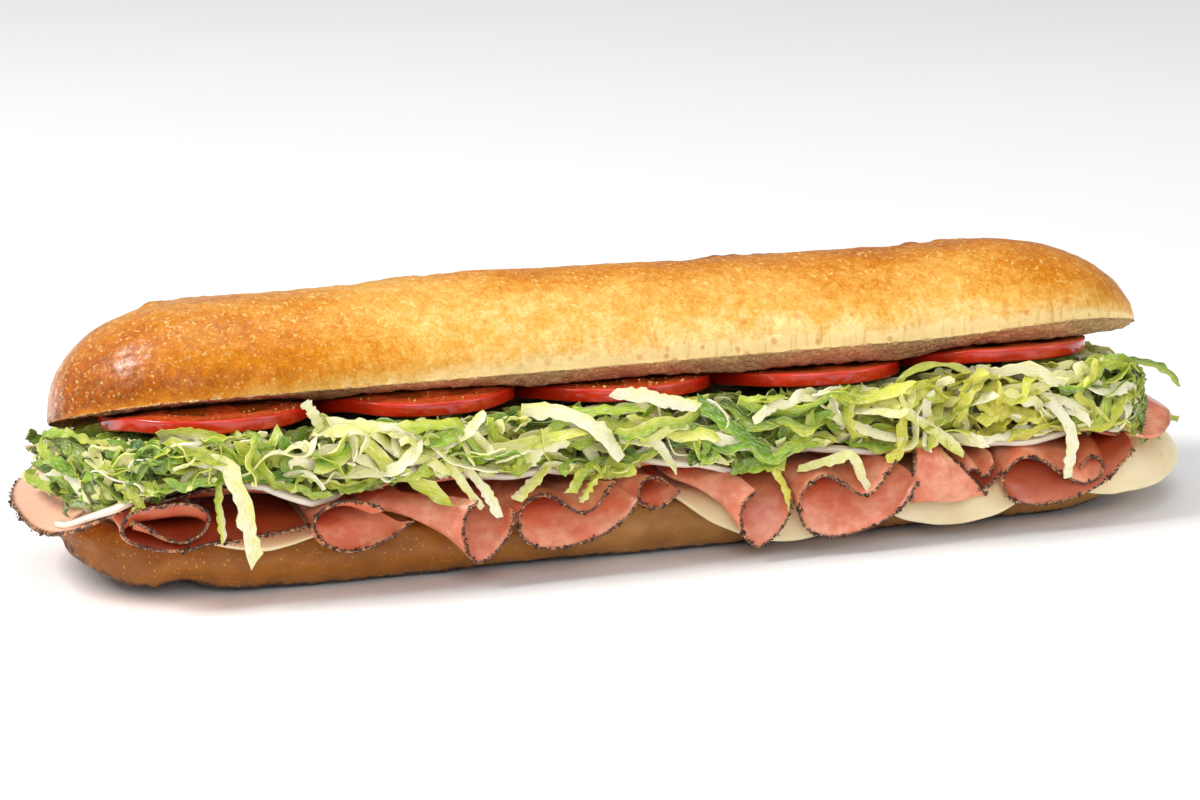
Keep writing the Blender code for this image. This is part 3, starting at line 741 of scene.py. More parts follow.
def rollStations(leftEnd, rightEnd, half, middleCount, endCount, last=87.0):
    # places along the roll and the size of the section there: a quarter ellipse at each end
    angle = np.radians(last * (1 - np.arange(endCount) / endCount))
    left = -half + leftEnd * (1 - np.sin(angle))
    middle = np.linspace(-half + leftEnd, half - rightEnd, middleCount)
    turned = np.radians(last * (np.arange(endCount) + 1) / endCount)
    right = half - rightEnd * (1 - np.sin(turned))
    size = np.concatenate([np.cos(angle), np.ones(middleCount), np.cos(turned)])
    return np.concatenate([left, middle, right]), size


upperBread = {
    "crown": 31.5, "leftEnd": 36.0, "rightEnd": 52.0, "crustSteps": 140, "crumbSteps": 66, "lipSteps": 34,
    "slashes": ((-118.0, 6.0), (-52.0, 8.0), (44.0, 6.0), (104.0, 4.0)),
    "slashLength": 58.0, "slashDepth": 2.6, "slashWidth": 5.0, "slashAngle": math.radians(24.0),
    "earHeight": 1.1, "earOffset": 7.0, "earWidth": 2.6,
    "wrinkle": 0.2, "swell": 0.5, "crumbRough": 0.5,
    # how brown the crust is: along the roll, at the lip, half way up, at the crown
    "bake": ((-168, 0.92, 0.88, 0.72), (-134, 0.80, 0.60, 0.46), (-100, 0.54, 0.47, 0.40),
             (-64, 0.38, 0.30, 0.38), (-12, 0.08, 0.30, 0.54), (40, 0.0, 0.38, 0.60), (92, 0.05, 0.40, 0.64),
             (128, 0.12, 0.44, 0.56), (168, 0.30, 0.58, 0.60)),
}


def upperPlace(x, across, height):
    # from the upper half's own frame, across its cut face and above it, to the sandwich's
    tilt = layers["upperTilt"]
    middleY = layers["lipY"] + layers["upperRadius"] * math.cos(tilt)
    middleZ = layers["lipZ"] - layers["upperRadius"] * math.sin(tilt)
    y = middleY + across * math.cos(tilt) + height * math.sin(tilt)
    z = middleZ - across * math.sin(tilt) + height * math.cos(tilt)
    return np.stack(np.broadcast_arrays(x, y, z), axis=-1)


def slashFields(x, across):
    # each slash is a window along a slanted line, with a trough down its middle and a raised ear beside it
    bread = upperBread
    relief = np.zeros(np.broadcast(x, across).shape)
    tear = np.zeros_like(relief)
    scorch = np.zeros_like(relief)
    cosine, sine = math.cos(bread["slashAngle"]), math.sin(bread["slashAngle"])
    for number, (slashX, slashAcross) in enumerate(bread["slashes"]):
        along = (x - slashX) * cosine + (across - slashAcross) * sine
        side = (across - slashAcross) * cosine - (x - slashX) * sine
        side = side + 0.9 * latticeNoise(along / 6.0, side / 9.0, 0.0 * along, 40 + number)
        window = smooth(2.2 * (1 - np.abs(along) / (bread["slashLength"] / 2)))
        trough = np.exp(-(side / bread["slashWidth"]) ** 2)
        ear = np.exp(-((side + bread["earOffset"]) / bread["earWidth"]) ** 2)
        ragged = 0.75 + 0.45 * latticeNoise(along / 3.0, side / 3.0, 0.0 * along, 50 + number)
        relief += window * (bread["earHeight"] * ear * ragged - bread["slashDepth"] * trough)
        tear += window * smooth((1.15 - np.abs(side) / bread["slashWidth"]) * 2.5)
        edge = np.exp(-((side + bread["earOffset"] + 0.4) / 1.5) ** 2)
        scorch += window * edge * smooth(ragged * 1.4 - 0.35) * (1.0 if number == 2 else 0.45)
    return relief, np.clip(tear, 0, 1), np.clip(scorch, 0, 1)


def makeUpperBread():
    # rings along the roll; round each ring a domed crust, a superellipse, and then the crumb underneath
    bread = upperBread
    x, size = rollStations(bread["leftEnd"], bread["rightEnd"], halfRoll, 300, 46)
    crown = 0.985 + 0.03 * np.cos((x + 38.0) / 40.0)
    radius = layers["upperRadius"]
    angle = np.linspace(0.0, np.pi, bread["crustSteps"])
    cosine = np.cos(angle)
    across = np.sign(cosine) * np.abs(cosine) ** 0.88 * radius
    height = np.maximum(np.sin(angle), 0.0) ** 0.92 * bread["crown"]
    X, across = np.meshgrid(x, across, indexing="ij")
    height = height[None, :] * crown[:, None]
    tuck = 1 - 0.04 * np.maximum(1 - height / 7.0, 0.0) ** 2
    relief, tear, scorch = slashFields(X, across)
    height = height + relief * np.sin(angle) ** 2
    S = size[:, None]
    crust = upperPlace(X, across * S * tuck, height * S)
    lipLift = layers["rightLipLift"] * smooth((X - 80.0) / 60.0)
    crust[..., 2] += lipLift * (1 - np.clip(height / bread["crown"], 0, 1))
    # the crumb rests on the tomatoes and meets the crust's lip all round
    ratio = np.concatenate([-np.linspace(0.985, 0.72, bread["lipSteps"]),
                            -np.linspace(0.68, -0.93, bread["crumbSteps"] - bread["lipSteps"])])
    underX, ratio = np.meshgrid(x, ratio, indexing="ij")
    flatAcross = ratio * radius
    y = upperPlace(underX, flatAcross * S, 0.0)[..., 1]
    pocket = (tomatoTop(underX, y) + tomatoBulge(underX, y) + 0.5 - rimPlane(y)) * math.cos(layers["upperTilt"])
    leftHollow = smooth((-underX - 60.0) / 60.0)
    front = smooth((1 + ratio) / mix(0.17, 0.5, leftHollow))
    back = smooth((1 - ratio) / 0.5)
    crumb = upperPlace(underX, flatAcross * S, pocket * front * back * smooth(S * 1.6))
    underLift = layers["rightLipLift"] * smooth((underX - 80.0) / 60.0)
    crumb[..., 2] += underLift * (1 - front * back * smooth(S * 1.6))
    rings = np.concatenate([crust, crumb], axis=1)
    crustCount = bread["crustSteps"]
    onCrumb = np.zeros(rings.shape[:2])
    onCrumb[:, crustCount:] = 1.0
    normals = gridNormals(rings, wrap=True)
    if np.mean(normals[: , crustCount // 2, 2]) < 0:
        normals = -normals
    swell = roughness(rings, 38.0, 2, 3) * bread["swell"]
    wrinkle = roughness(rings * np.array([0.7, 1.0, 1.0]), 3.2, 3, 9) * bread["wrinkle"]
    ragged = roughness(rings, 2.6, 3, 21) * bread["crumbRough"]
    keep = smooth(size * 3.0)[:, None]
    edge = np.minimum(np.arange(rings.shape[1]) / 6.0, 1.0)[None, :]
    lift = np.where(onCrumb > 0, ragged * 0.8, (swell + wrinkle) * edge) * keep
    lift[:, :crustCount] += (0.5 * tear * roughness(rings[:, :crustCount], 1.6, 2, 30)) * keep
    rings = rings + normals * lift[..., None]
    topShare = np.clip(height / bread["crown"], 0, 1)
    toLeft = smooth((-X - 55.0) / 85.0)
    toRight = smooth((X - 132.0) / 26.0)
    paleSide = smooth((X + 85.0) / 110.0) * (1 - toRight)
    shades = np.array(bread["bake"])
    atLip, halfUp, atCrown = (np.interp(X, shades[:, 0], shades[:, n]) for n in (1, 2, 3))
    bake = np.where(topShare < 0.6, mix(atLip, halfUp, smooth(topShare / 0.6)),
                    mix(halfUp, atCrown, smooth((topShare - 0.6) / 0.4)))
    bake = bake + 0.05 * roughness(crust, 24.0, 2, 60)
    bake = np.where(cosine[None, :] > 0, bake + 0.10 * smooth(cosine)[None, :], bake)
    lipPale = smooth(1 - (np.pi - angle) / 0.14)[None, :] * np.ones_like(X)
    bake = bake - 0.25 * lipPale
    fibre = paleSide * smooth(1.25 - topShare * 1.5)
    fleck = np.clip(0.55 * smooth((topShare - 0.15) / 0.5) + 0.25, 0, 1) * (1 - 0.5 * toRight)
    shine = 0.10 + 0.6 * toLeft * smooth((topShare - 0.2) / 0.3) + 0.15 * toLeft + 0.15 * toRight
    shine = shine + 0.12 * smooth((topShare - 0.35) / 0.4)
    # 0 at the crumb's front lip and 1 a few millimetres in, less at the right end: partly the crumb's own pink,
    # partly painted shade
    depth = smooth((ratio + 1.0) / 0.10) * (1 - 0.75 * smooth((underX - 100.0) / 30.0))
    values = {"cut": onCrumb}
    for key, value in (("bake", bake), ("fibre", fibre), ("fleck", fleck), ("shine", shine), ("tear", tear),
                       ("scorch", scorch)):
        values[key] = np.concatenate([value, np.zeros(crumb.shape[:2])], axis=1)
    values["deep"] = np.concatenate([np.zeros_like(X), depth], axis=1)
    leftTip = upperPlace(-halfRoll, 0.0, 2.0)
    rightTip = upperPlace(halfRoll, 0.0, 4.0)
    points, faces = closedLoft(rings, leftTip, rightTip)
    ends = {key: np.concatenate([value.ravel(), [value[0].mean(), value[-1].mean()]])
            for key, value in values.items()}
    addPiece("upperBread", points, faces, crustMaterial, ["bun_top"], ends)


lowerBread = {
    "side": ((27.0, 0.0), (32.5, 1.2), (36.8, 5.5), (38.0, 10.0), (36.0, 14.0), (31.5, 16.2)),
    "leftEnd": 46.0, "rightEnd": 38.0, "baseLeft": 70.0, "baseRight": 42.0, "endRise": 14.5,
    "inset": 6.5, "sink": 0.9, "tip": 13.6, "baseSteps": 24, "sideSteps": 46, "cutSteps": 44,
    "wrinkle": 0.22, "swell": 0.45,
}


def makeLowerBread():
    # rings along the roll; round each ring the flat base, a bulging side, the cut face and the other side
    bread = lowerBread
    x, size = rollStations(bread["leftEnd"], bread["rightEnd"], halfRoll, 250, 40)
    side = smoothLine(bread["side"], bread["sideSteps"])
    rimHalf, sideTop = bread["side"][-1]
    base = np.linspace(-27.0, 27.0, bread["baseSteps"])[1:-1]
    cut = np.linspace(31.0, -31.0, bread["cutSteps"])
    across = np.concatenate([base, side[:, 0], cut, -side[::-1, 0]])
    up = np.concatenate([np.zeros(len(base)), side[:, 1], np.zeros(len(cut)), side[::-1, 1]])
    onBase = np.arange(len(across))[None, :] < len(base)
    onCut = np.zeros((len(x), len(across)))
    onCut[:, len(base) + len(side):len(base) + len(side) + len(cut)] = 1.0
    S = size[:, None]
    X = np.broadcast_to(x[:, None], (len(x), len(across)))
    rounded = np.where(x < 0, bread["baseLeft"], bread["baseRight"])
    past = np.clip(np.abs(x) - (halfRoll - rounded), 0.0, None) / rounded
    rise = bread["endRise"] * (1 - np.sqrt(np.clip(1 - past ** 2, 0.0, 1.0)))
    Y = across[None, :] * S
    rim = crumbTop(Y) - bread["sink"]
    # a side's height runs from the base to the cut face of that place
    share = up[None, :] / sideTop
    rimHere = crumbTop(np.sign(across)[None, :] * rimHalf * S) - bread["sink"]
    toRim = smooth((up[None, :] - 12.0) / 4.2)
    sideZ = np.where(up[None, :] < 12.0, up[None, :], mix(up[None, :], rimHere, toRim))
    Z = np.where(onCut > 0, rim, sideZ + rise[:, None] * (1 - sideZ / 20.5))
    inset = np.sign(X) * bread["inset"] * (1 - S) * smooth((share - 0.7) / 0.3)
    inset = np.where(onCut > 0, np.sign(X) * bread["inset"] * (1 - S), inset)
    rings = np.stack([X - inset, Y, Z], axis=-1)
    normals = gridNormals(rings, wrap=True)
    middle = len(base) + len(side) // 2
    if np.mean(normals[len(x) // 2, middle:middle + 2, 1]) * across[middle] < 0:
        normals = -normals
    keep = smooth(size * 3.0)[:, None]
    swell = roughness(rings, 30.0, 2, 5) * bread["swell"]
    wrinkle = roughness(rings * np.array([0.8, 1.0, 1.3]), 3.5, 3, 11) * bread["wrinkle"]
    torn = smooth((-X - 95.0) / 30.0) * smooth((12.0 - Z) / 8.0) * smooth((-Y - 5.0) / 20.0)
    folds = torn * 1.1 * roughness(rings * np.array([1.0, 1.0, 1.6]), 9.0, 3, 17)
    # a torn lobe at the left end: its lower edge stands out, with a hollow just past it
    lobe = smooth((-X - 134.0) / 5.0) * smooth((13.0 - Z) / 5.0) * smooth((-Y + 6.0) / 10.0)
    hollow = np.exp(-((X + 131.0) / 4.0) ** 2) * smooth((10.0 - Z) / 6.0) * smooth((-Y - 6.0) / 12.0)
    creases = 0.5 - np.abs(roughness(rings * np.array([1.0, 1.0, 0.6]), 6.0, 2, 23))
    creases = smooth((-X - 120.0) / 20.0) * creases
    folds = folds + 1.6 * lobe - 1.8 * hollow + 0.9 * creases
    lift = np.where(onCut > 0, 0.25 * roughness(rings, 2.5, 2, 15) - 0.2, swell + wrinkle + folds)
    lift = np.where(onBase, 0.12 * roughness(rings, 3.0, 2, 19) + 0.15, lift)
    rings = rings + normals * (lift * keep)[..., None]
    rings[..., 2] = np.maximum(rings[..., 2], 0.0)
    dull = smooth((X + 70.0) / 70.0)
    low = smooth((3.4 - (Z - rise[:, None])) / 3.0)
    low = np.where(onBase, 0.66, low * (0.5 + 0.5 * smooth((X + 135.0) / 30.0)))
    leftTip = np.array([-halfRoll, 0.0, bread["tip"]])
    rightTip = np.array([halfRoll, 0.0, bread["tip"]])
    points, faces = closedLoft(rings, leftTip, rightTip)
    values = {"cut": onCut, "dull": dull, "scorch": low * (1 - onCut)}
    values = {key: np.concatenate([value.ravel(), [value[0].mean(), value[-1].mean()]])
              for key, value in values.items()}
    addPiece("lowerBread", points, faces, baseMaterial, ["bun_bottom"], values)


def sliceSolid(centre, radii, squareness, thickness, place, steps=120, rows=26, uneven=0.01, seed=1, blunt=1.0):
    # rings from the middle of the upper face, round the rim and back to the middle of the lower face; the
    # rim's section is half round, or squarer for a smaller blunt, the outline is a superellipse with a little
    # noise, and place lays each point down
    turn = np.linspace(0.0, 2 * np.pi, steps, endpoint=False)
    c, s = np.cos(turn), np.sin(turn)
    reach = (np.abs(c) ** squareness + np.abs(s) ** squareness) ** (-1 / squareness)
    reach = reach * (1 + uneven * latticeNoise(2.2 * c + 9, 2.2 * s + 9, 0 * c, seed)
                     + uneven * 0.5 * latticeNoise(7 * c + 9, 7 * s + 9, 0 * c, seed + 5))
    half = thickness / 2
    shares = np.linspace(0.05, 1.0, rows) ** 0.75
    turns = np.radians(np.linspace(0.0, 180.0, 13))[1:-1]
    rimOut = half * np.sin(turns) ** blunt
    rimUp = half * np.sign(np.cos(turns)) * np.abs(np.cos(turns)) ** blunt
    share = np.concatenate([shares, np.ones(len(turns)), shares[::-1]])
    out = np.concatenate([np.zeros(rows), rimOut, np.zeros(rows)])
    lift = np.concatenate([np.full(rows, thickness), half + rimUp, np.zeros(rows)])
    inner = 1 - half / min(radii)
    x = centre[0] + c[None, :] * (reach[None, :] * radii[0] * inner * share[:, None] + out[:, None])
    y = centre[1] + s[None, :] * (reach[None, :] * radii[1] * inner * share[:, None] + out[:, None])
    z = np.broadcast_to(lift[:, None], x.shape)
    rings = place(x, y, z)
    firstTip = place(np.array([centre[0]]), np.array([centre[1]]), np.array([thickness]))[0]
    lastTip = place(np.array([centre[0]]), np.array([centre[1]]), np.array([0.0]))[0]
    points, faces = closedLoft(rings, firstTip, lastTip)
    outer = smooth((shares - 0.97) / 0.03)
    rim = np.concatenate([outer, np.ones(len(turns)), outer[::-1]])
    rim = np.concatenate([np.repeat(rim, steps), [0.0, 0.0]])
    return points, faces, rim, rings[rows + len(turns) // 2]


# Middle of each slice, its radius, and the left edge of its right neighbour, where it has climbed on it
cheeseSlices = {
    "cheese_1": ((-110.5, -2.5), 39.0, -75.0), "cheese_2": ((-36.0, -2.0), 36.5, -3.0),
    "cheese_3": ((38.0, -11.0), 41.0, 48.5), "cheese_4": ((88.0, -13.0), 39.5, 93.0),
    "cheese_5": ((132.0, -7.5), 39.5, 400.0),
}


def makeCheeses():
    # round slices: the right side of each climbs one step on its neighbour, and the front has a sine wave
    for number, (node, (centre, radius, nextEdge)) in enumerate(cheeseSlices.items()):
        def place(x, y, lift):
            climbed = smooth((x - (nextEdge - 9.0)) / 8.0)
            wave = 0.35 * np.sin(x / 5.5 + number) * smooth((-y - 34.0) / 8.0)
            return drape(x, y, layers["gap"] + layers["cheeseStep"] * climbed + lift + wave)
        points, faces = sliceSolid(centre, (radius, radius), 2.0, layers["cheese"], place, steps=150, rows=34,
                                   uneven=0.012, seed=number * 7 + 2)[:2]
        addPiece(f"cheeseSlice{number + 1}", points, faces, cheeseMaterial, [node])


pepperSpots = []   # places of the pepper, collected while the ham is made


def pepperAlong(line, out, perMillimetre, spread):
    # bits at random places along an edge, each a little off it
    length = np.concatenate([[0.0], np.cumsum(np.linalg.norm(np.diff(line, axis=0), axis=1))])
    count = int(length[-1] * perMillimetre)
    clumps = rng.random(count)
    at = np.sort((clumps + 0.02 * np.sin(clumps * 60.0)) % 1.0) * length[-1]
    place = np.stack([np.interp(at, length, line[:, n]) for n in range(3)], axis=1)
    away = np.stack([np.interp(at, length, out[:, n]) for n in range(3)], axis=1)
    place = place + unit(away) * 0.1 + rng.normal(0.0, spread, (count, 3))
    pepperSpots.append(place)


# The line that a folded slice draws at its open front, in a box one wide and one high
foldLines = {
    "roll": ((0.58, 0.64), (0.67, 0.84), (0.75, 0.70), (0.73, 0.44), (0.61, 0.33), (0.45, 0.52), (0.30, 0.84),
             (0.14, 0.95), (0.02, 0.68), (0.02, 0.26), (0.22, 0.0), (0.54, 0.06), (0.78, 0.32), (0.93, 0.68),
             (1.0, 0.92)),
    "flap": ((0.055, 0.72), (0.15, 0.50), (0.23, 0.27), (0.32, 0.17), (0.41, 0.27), (0.46, 0.57), (0.42, 0.84),
             (0.32, 0.98), (0.17, 0.95), (0.05, 0.84), (0.0, 0.58), (0.03, 0.30), (0.15, 0.07), (0.32, 0.0),
             (0.55, 0.03), (0.79, 0.12), (1.0, 0.24)),
    "wave": ((0.80, 1.0), (0.64, 0.62), (0.50, 0.55), (0.34, 0.76), (0.20, 0.86), (0.05, 0.72), (0.0, 0.44),
             (0.08, 0.14), (0.32, 0.0), (0.62, 0.10), (0.84, 0.32), (1.0, 0.66)),
    "cup": ((0.70, 0.74), (0.50, 0.94), (0.30, 1.0), (0.10, 0.86), (0.0, 0.60), (0.05, 0.26), (0.22, 0.04),
            (0.42, 0.0), (0.62, 0.08), (0.82, 0.26), (1.0, 0.48)),
    "cone": ((0.30, 1.0), (0.10, 0.84), (0.0, 0.56), (0.06, 0.26), (0.26, 0.0), (0.52, 0.05), (0.76, 0.24),
             (0.94, 0.50), (1.0, 0.76)),
}
# Each fold: its line; left, right, bottom, top and front of its open end; its room on the bread; how much painted
# amber shade lies inside its loop
hamFolds = {
    "ham_fold_1": ("flap", (-151.0, -100.0, 18.5, 31.0, -46.5), (-150.0, -101.0), 0.8),
    "ham_fold_2": ("cup", (-99.0, -72.0, 14.0, 28.0, -48.0), (-99.5, -84.5), 0.0),
    "ham_fold_3": ("cone", (-59.0, -44.5, 8.5, 25.5, -51.0), (-83.0, -46.5), 0.0),
    "ham_fold_4": ("wave", (-43.0, -8.0, 9.5, 27.0, -49.0), (-45.0, -14.5), 0.0),
    "ham_fold_5": ("cup", (-7.0, 5.0, 17.0, 26.0, -45.0), (-13.0, 3.0), 0.2),
    "ham_fold_6": ("cone", (21.0, 36.0, 5.0, 21.0, -50.5), (4.5, 34.0), 0.3),
    "ham_fold_7": ("wave", (38.0, 74.0, 5.5, 26.0, -50.5), (36.0, 66.0), 0.0),
    "ham_fold_9": ("wave", (89.0, 99.5, 14.5, 21.5, -48.0), (85.5, 99.0), 0.7),
    "ham_fold_10": ("roll", (99.5, 140.0, 9.0, 23.5, -49.0), (100.5, 141.0), 0.85),
}
foldShape = {"columns": 120, "rows": 44, "thick": 0.85, "tailY": 30.0, "top": 25.0, "wave": 0.5}


def foldSections(front, room):
    # left, right, bottom, top, y and thickness share, from the open end up over the rim to the tail
    left, right, bottom, top, frontY = front
    sections = [(left, right, bottom, top, frontY, 1.0)]
    for share, y in ((0.25, -46.0), (0.62, -41.5)):
        y = max(y, frontY + 2.0)
        low = max(bottom, float(apron(y)))
        high = mix(top, foldShape["top"] + 0.6, share ** 0.35)
        sections.append((mix(left, room[0], share), mix(right, room[1], share), low, high, y, 0.85))
    for y, thin in ((-36.0, 0.5), (-6.0, 0.4), (foldShape["tailY"], 0.3)):
        low = float(foldFloor(y)) + foldShape["thick"] * thin / 2
        high = float(foldFloor(y) + foldHeight(y)) - foldShape["thick"] * thin / 2
        sections.append((room[0], room[1], low, high, y, thin))
    return np.array(sections)


def makeFolds():
    # each line is stretched to the sections from its open end to its tail, and then gets its thickness
    for node, (kind, front, room, amber) in hamFolds.items():
        number = int(node.split("_")[-1]) - 1
        line = smoothLine(foldLines[kind], foldShape["columns"])
        sections = foldSections(front, room)
        along = np.concatenate([[0.0], np.cumsum(np.abs(np.diff(sections[:, 4])) ** 0.6 + 0.1)])
        steps = np.linspace(0.0, 1.0, foldShape["rows"]) ** 1.35 * along[-1]
        rows = np.stack([np.interp(steps, along, sections[:, n]) for n in range(6)], axis=1)
        soft = rows.copy()
        soft[1:-1] = (rows[:-2] + 2 * rows[1:-1] + rows[2:]) / 4
        left, right, bottom, top, y, thin = soft.T[:, :, None]
        X = mix(left, right, line[None, :, 0])
        Z = mix(bottom, top, line[None, :, 1])
        Y = np.broadcast_to(y, X.shape)
        middle = np.stack([X, Y, Z], axis=-1)
        out = np.exp(-np.arange(foldShape["rows"]) / 9.0)[:, None]
        ripple = foldShape["wave"] * out * roughness(middle, 9.0, 2, 70 + number)
        middle = middle + gridNormals(middle) * ripple[..., None]
        middle[..., 1] = np.maximum(middle[..., 1] + 0.5 * out * roughness(middle, 6.0, 2, 90 + number),
                                    cadLow[1] / mm + 0.2)
        points, faces, fromEdge, shape = sheetShell(middle, foldShape["thick"] * thin)
        rim = smooth((3.4 - fromEdge) / 1.4)
        toMiddle = np.sum(gridNormals(middle)[0] * (middle[0].mean(axis=0) - middle[0]))
        inside = np.zeros(shape)
        inside[: shape[0] // 2] = 1.0 if toMiddle > 0 else 0.0
        inside[shape[0] // 2:] = 0.0 if toMiddle > 0 else 1.0
        depth = smooth((fromEdge - 2.0) / 20.0)
        inside = inside.ravel()
        # amber and inner are painted shade on the side facing into the loop, stronger further from its open edge
        values = {"rim": rim, "amber": amber * inside * (0.7 + 0.3 * depth),
                  "inner": inside * (0.1 + 0.4 * depth)}
        addPiece(f"foldedHam{number + 1}", points, faces, foldedMaterial, [node], values)
        edgeLine = middle[0]
        forward = unit(middle[0] - middle[1])
        pepperAlong(edgeLine, forward, 3.6, 0.2)
        pepperAlong(edgeLine + gridNormals(middle)[0] * 0.4, forward, 2.6, 0.24)
        pepperAlong(edgeLine - gridNormals(middle)[0] * 0.4, forward, 2.6, 0.24)


# A slice hanging over the front as a broad flap: left, right, height and y of each line across it, from its
# cut edge up over the front and back into the sandwich
hangingHam = ((72.5, 95.5, 12.5, -47.6), (72.3, 93.5, 15.0, -48.2), (72.3, 90.0, 19.0, -48.4),
              (73.0, 86.0, 23.0, -48.0), (73.8, 82.5, 26.0, -46.6), (74.0, 82.5, 27.2, -43.5),
              (71.5, 83.5, 25.6, -39.0), (68.2, 83.5, 24.4, -34.0))


def makeHangingHam():
    # a smooth surface through the lines, bulging forward by a sine across it, then level back to its tail
    lines = [(*line, 1.0) for line in hangingHam]
    for y, thin in ((-20.0, 0.5), (5.0, 0.4), (foldShape["tailY"], 0.3)):
        lines.append((68.2, 83.5, float(foldFloor(y) + foldHeight(y) / 2), y, thin))
    rows = smoothLine(lines, foldShape["rows"] + 16)
    across = np.linspace(0.0, 1.0, foldShape["columns"] // 2)
    left, right, z, y, thin = rows.T[:, :, None]
    hanging = smooth((-y - 40.0) / 6.0)
    bulge = hanging * (1.3 * np.sin(np.pi * across) + 0.5 * np.sin(4 * np.pi * across))
    ripple = 0.4 * np.sin(3 * np.pi * across) * hanging
    middle = np.stack(np.broadcast_arrays(mix(left, right, across), y - bulge, z + ripple), axis=-1)
    middle = middle + gridNormals(middle) * (0.35 * hanging * roughness(middle, 7.0, 2, 77))[..., None]
    points, faces, fromEdge, shape = sheetShell(middle, foldShape["thick"] * thin)
    sideways = np.minimum(across, 1 - across) * (right - left)
    sideways = np.concatenate([sideways[::-1], np.repeat(sideways[:1], 4, axis=0), sideways], axis=0)
    front = np.concatenate([hanging[::-1], np.repeat(hanging[:1], 4, axis=0), hanging], axis=0)
    # rim runs down the hanging edges; inner is painted shade, stronger on the parts that go back into the sandwich
    values = {"rim": (smooth((1.1 - sideways) / 0.7) * front).ravel(), "amber": 0.0 * fromEdge,
              "inner": (0.35 * (1 - front * 0.6) * np.ones(shape)).ravel()}
    addPiece("foldedHam8", points, faces, foldedMaterial, ["ham_fold_8"], values)
    shown = int(np.sum(hanging > 0.5))
    for column, out in ((0, -1.0), (-1, 1.0)):
        edgeLine = middle[:shown, column]
        forward = np.broadcast_to(np.array([out, -0.6, 0.0]), edgeLine.shape)
        pepperAlong(edgeLine, forward, 5.0, 0.26)
        pepperAlong(edgeLine, forward, 4.0, 0.32)


# Flat ham over the folds: middle and half sizes of each slice
flatHams = {
    "ham_flat_1": ((-134.5, -1.0), (36.0, 36.0)), "ham_flat_2": ((-64.0, -1.0), (34.5, 35.5)),
    "ham_flat_3": ((6.0, -1.0), (34.5, 36.0)), "ham_flat_4": ((76.0, -1.0), (34.5, 35.5)),
    "ham_flat_5": ((138.0, -2.0), (26.5, 35.0)),
}
# How the front of the flat ham rises over the folds and sinks between them: along the roll, height
flatFront = ((-170, 29), (-148, 30), (-128, 34), (-112, 33), (-99, 26), (-87, 27), (-72, 31), (-45, 29),
             (-32, 29), (-16, 24), (-4, 29), (10, 28), (24, 22), (34, 26), (44, 29), (60, 26), (72, 23),
             (86, 26), (104, 25), (131, 26), (150, 20), (170, 20))


def flatHeight(x, y):
    # level over the folds; towards the front it blends into a wavy line that is a smooth curve of x
    level = flatFloor(y) + 0.3
    wavy = np.interp(x, *np.array(flatFront, float).T)
    wavy = wavy + 0.8 * latticeNoise(x / 8.0, y / 30.0, 0.0 * x, 33)
    front = smooth((-y - 26.0) / 13.0)
    past = np.maximum(x - (halfRoll - layers["bendStart"]), 0.0)
    droop = 8.0 * smooth((-x - 146.0) / 24.0)
    return mix(level, wavy - 1.0, front * 0.85) - 0.5 * past - droop


def makeFlatHams():
    # rounded square slices on the folds, a little further forward at the front
    for number, (node, (centre, radii)) in enumerate(flatHams.items()):
        def place(x, y, lift):
            z = flatHeight(x, y) + lift + 0.15 * number
            front = smooth((-y - 28.0) / 8.0)
            return np.stack([x, y - 3.6 * front, z], axis=-1)
        points, faces, rim, line = sliceSolid(centre, radii, 3.2, layers["ham"], place, steps=170, rows=34,
                                              uneven=0.012, seed=number * 5 + 11)
        leftEdge = smooth((-points[:, 0] - 112.0) / 12.0)
        rightEdge = smooth((points[:, 0] - 150.0) / 6.0)
        # rim only at the ends; painted light lifts the far left end of the first slice towards pale
        values = {"rim": rim * np.maximum(leftEdge, rightEdge * 0.5),
                  "paintedLight": 0.8 * smooth((-points[:, 0] - 132.0) / 14.0)}
        addPiece(f"flatHam{number + 1}", points, faces, flatMaterial, [node], values)
        if number == 0:
            shown = line[(line[:, 0] < -122.0)]
            order = np.argsort(np.arctan2(shown[:, 1] + 1.0, -(shown[:, 0] + 110.0)))
            shown = shown[order]
            pepperAlong(shown, unit(shown - np.array([centre[0], centre[1], 29.0])), 3.2, 0.3)


# Onion rings cut into arcs: middle, half sizes, first and last angle
onionArcs = {
    "onion_1": ((-147.0, -21.0), (17.0, 14.0), (188.0, 310.0)),
    "onion_2": ((-106.0, -20.0), (24.0, 19.0), (195.0, 345.0)),
    "onion_3": ((-42.0, -20.0), (25.0, 18.5), (190.0, 350.0)),
    "onion_4": ((9.0, -22.0), (20.0, 17.0), (190.0, 350.0)),
    "onion_5": ((54.0, -22.0), (19.0, 17.0), (185.0, 345.0)),
    "onion_6": ((106.0, -21.0), (26.0, 18.0), (195.0, 350.0)),
}
onionShape = {"wide": 2.4, "high": 1.9, "steps": 64, "corners": 14, "forward": 6.0}


def sweepShape(path, side, up, halfWide, halfHigh, corners, power=0.7):
    # a superellipse carried along a path, given the path's side and up directions and half sizes
    turn = np.linspace(0.0, 2 * np.pi, corners, endpoint=False)
    c = np.sign(np.cos(turn)) * np.abs(np.cos(turn)) ** power
    s = np.sign(np.sin(turn)) * np.abs(np.sin(turn)) ** power
    return (path[:, None] + side[:, None] * (c[None, :] * halfWide[:, None])[..., None]
            + up[:, None] * (s[None, :] * halfHigh[:, None])[..., None])


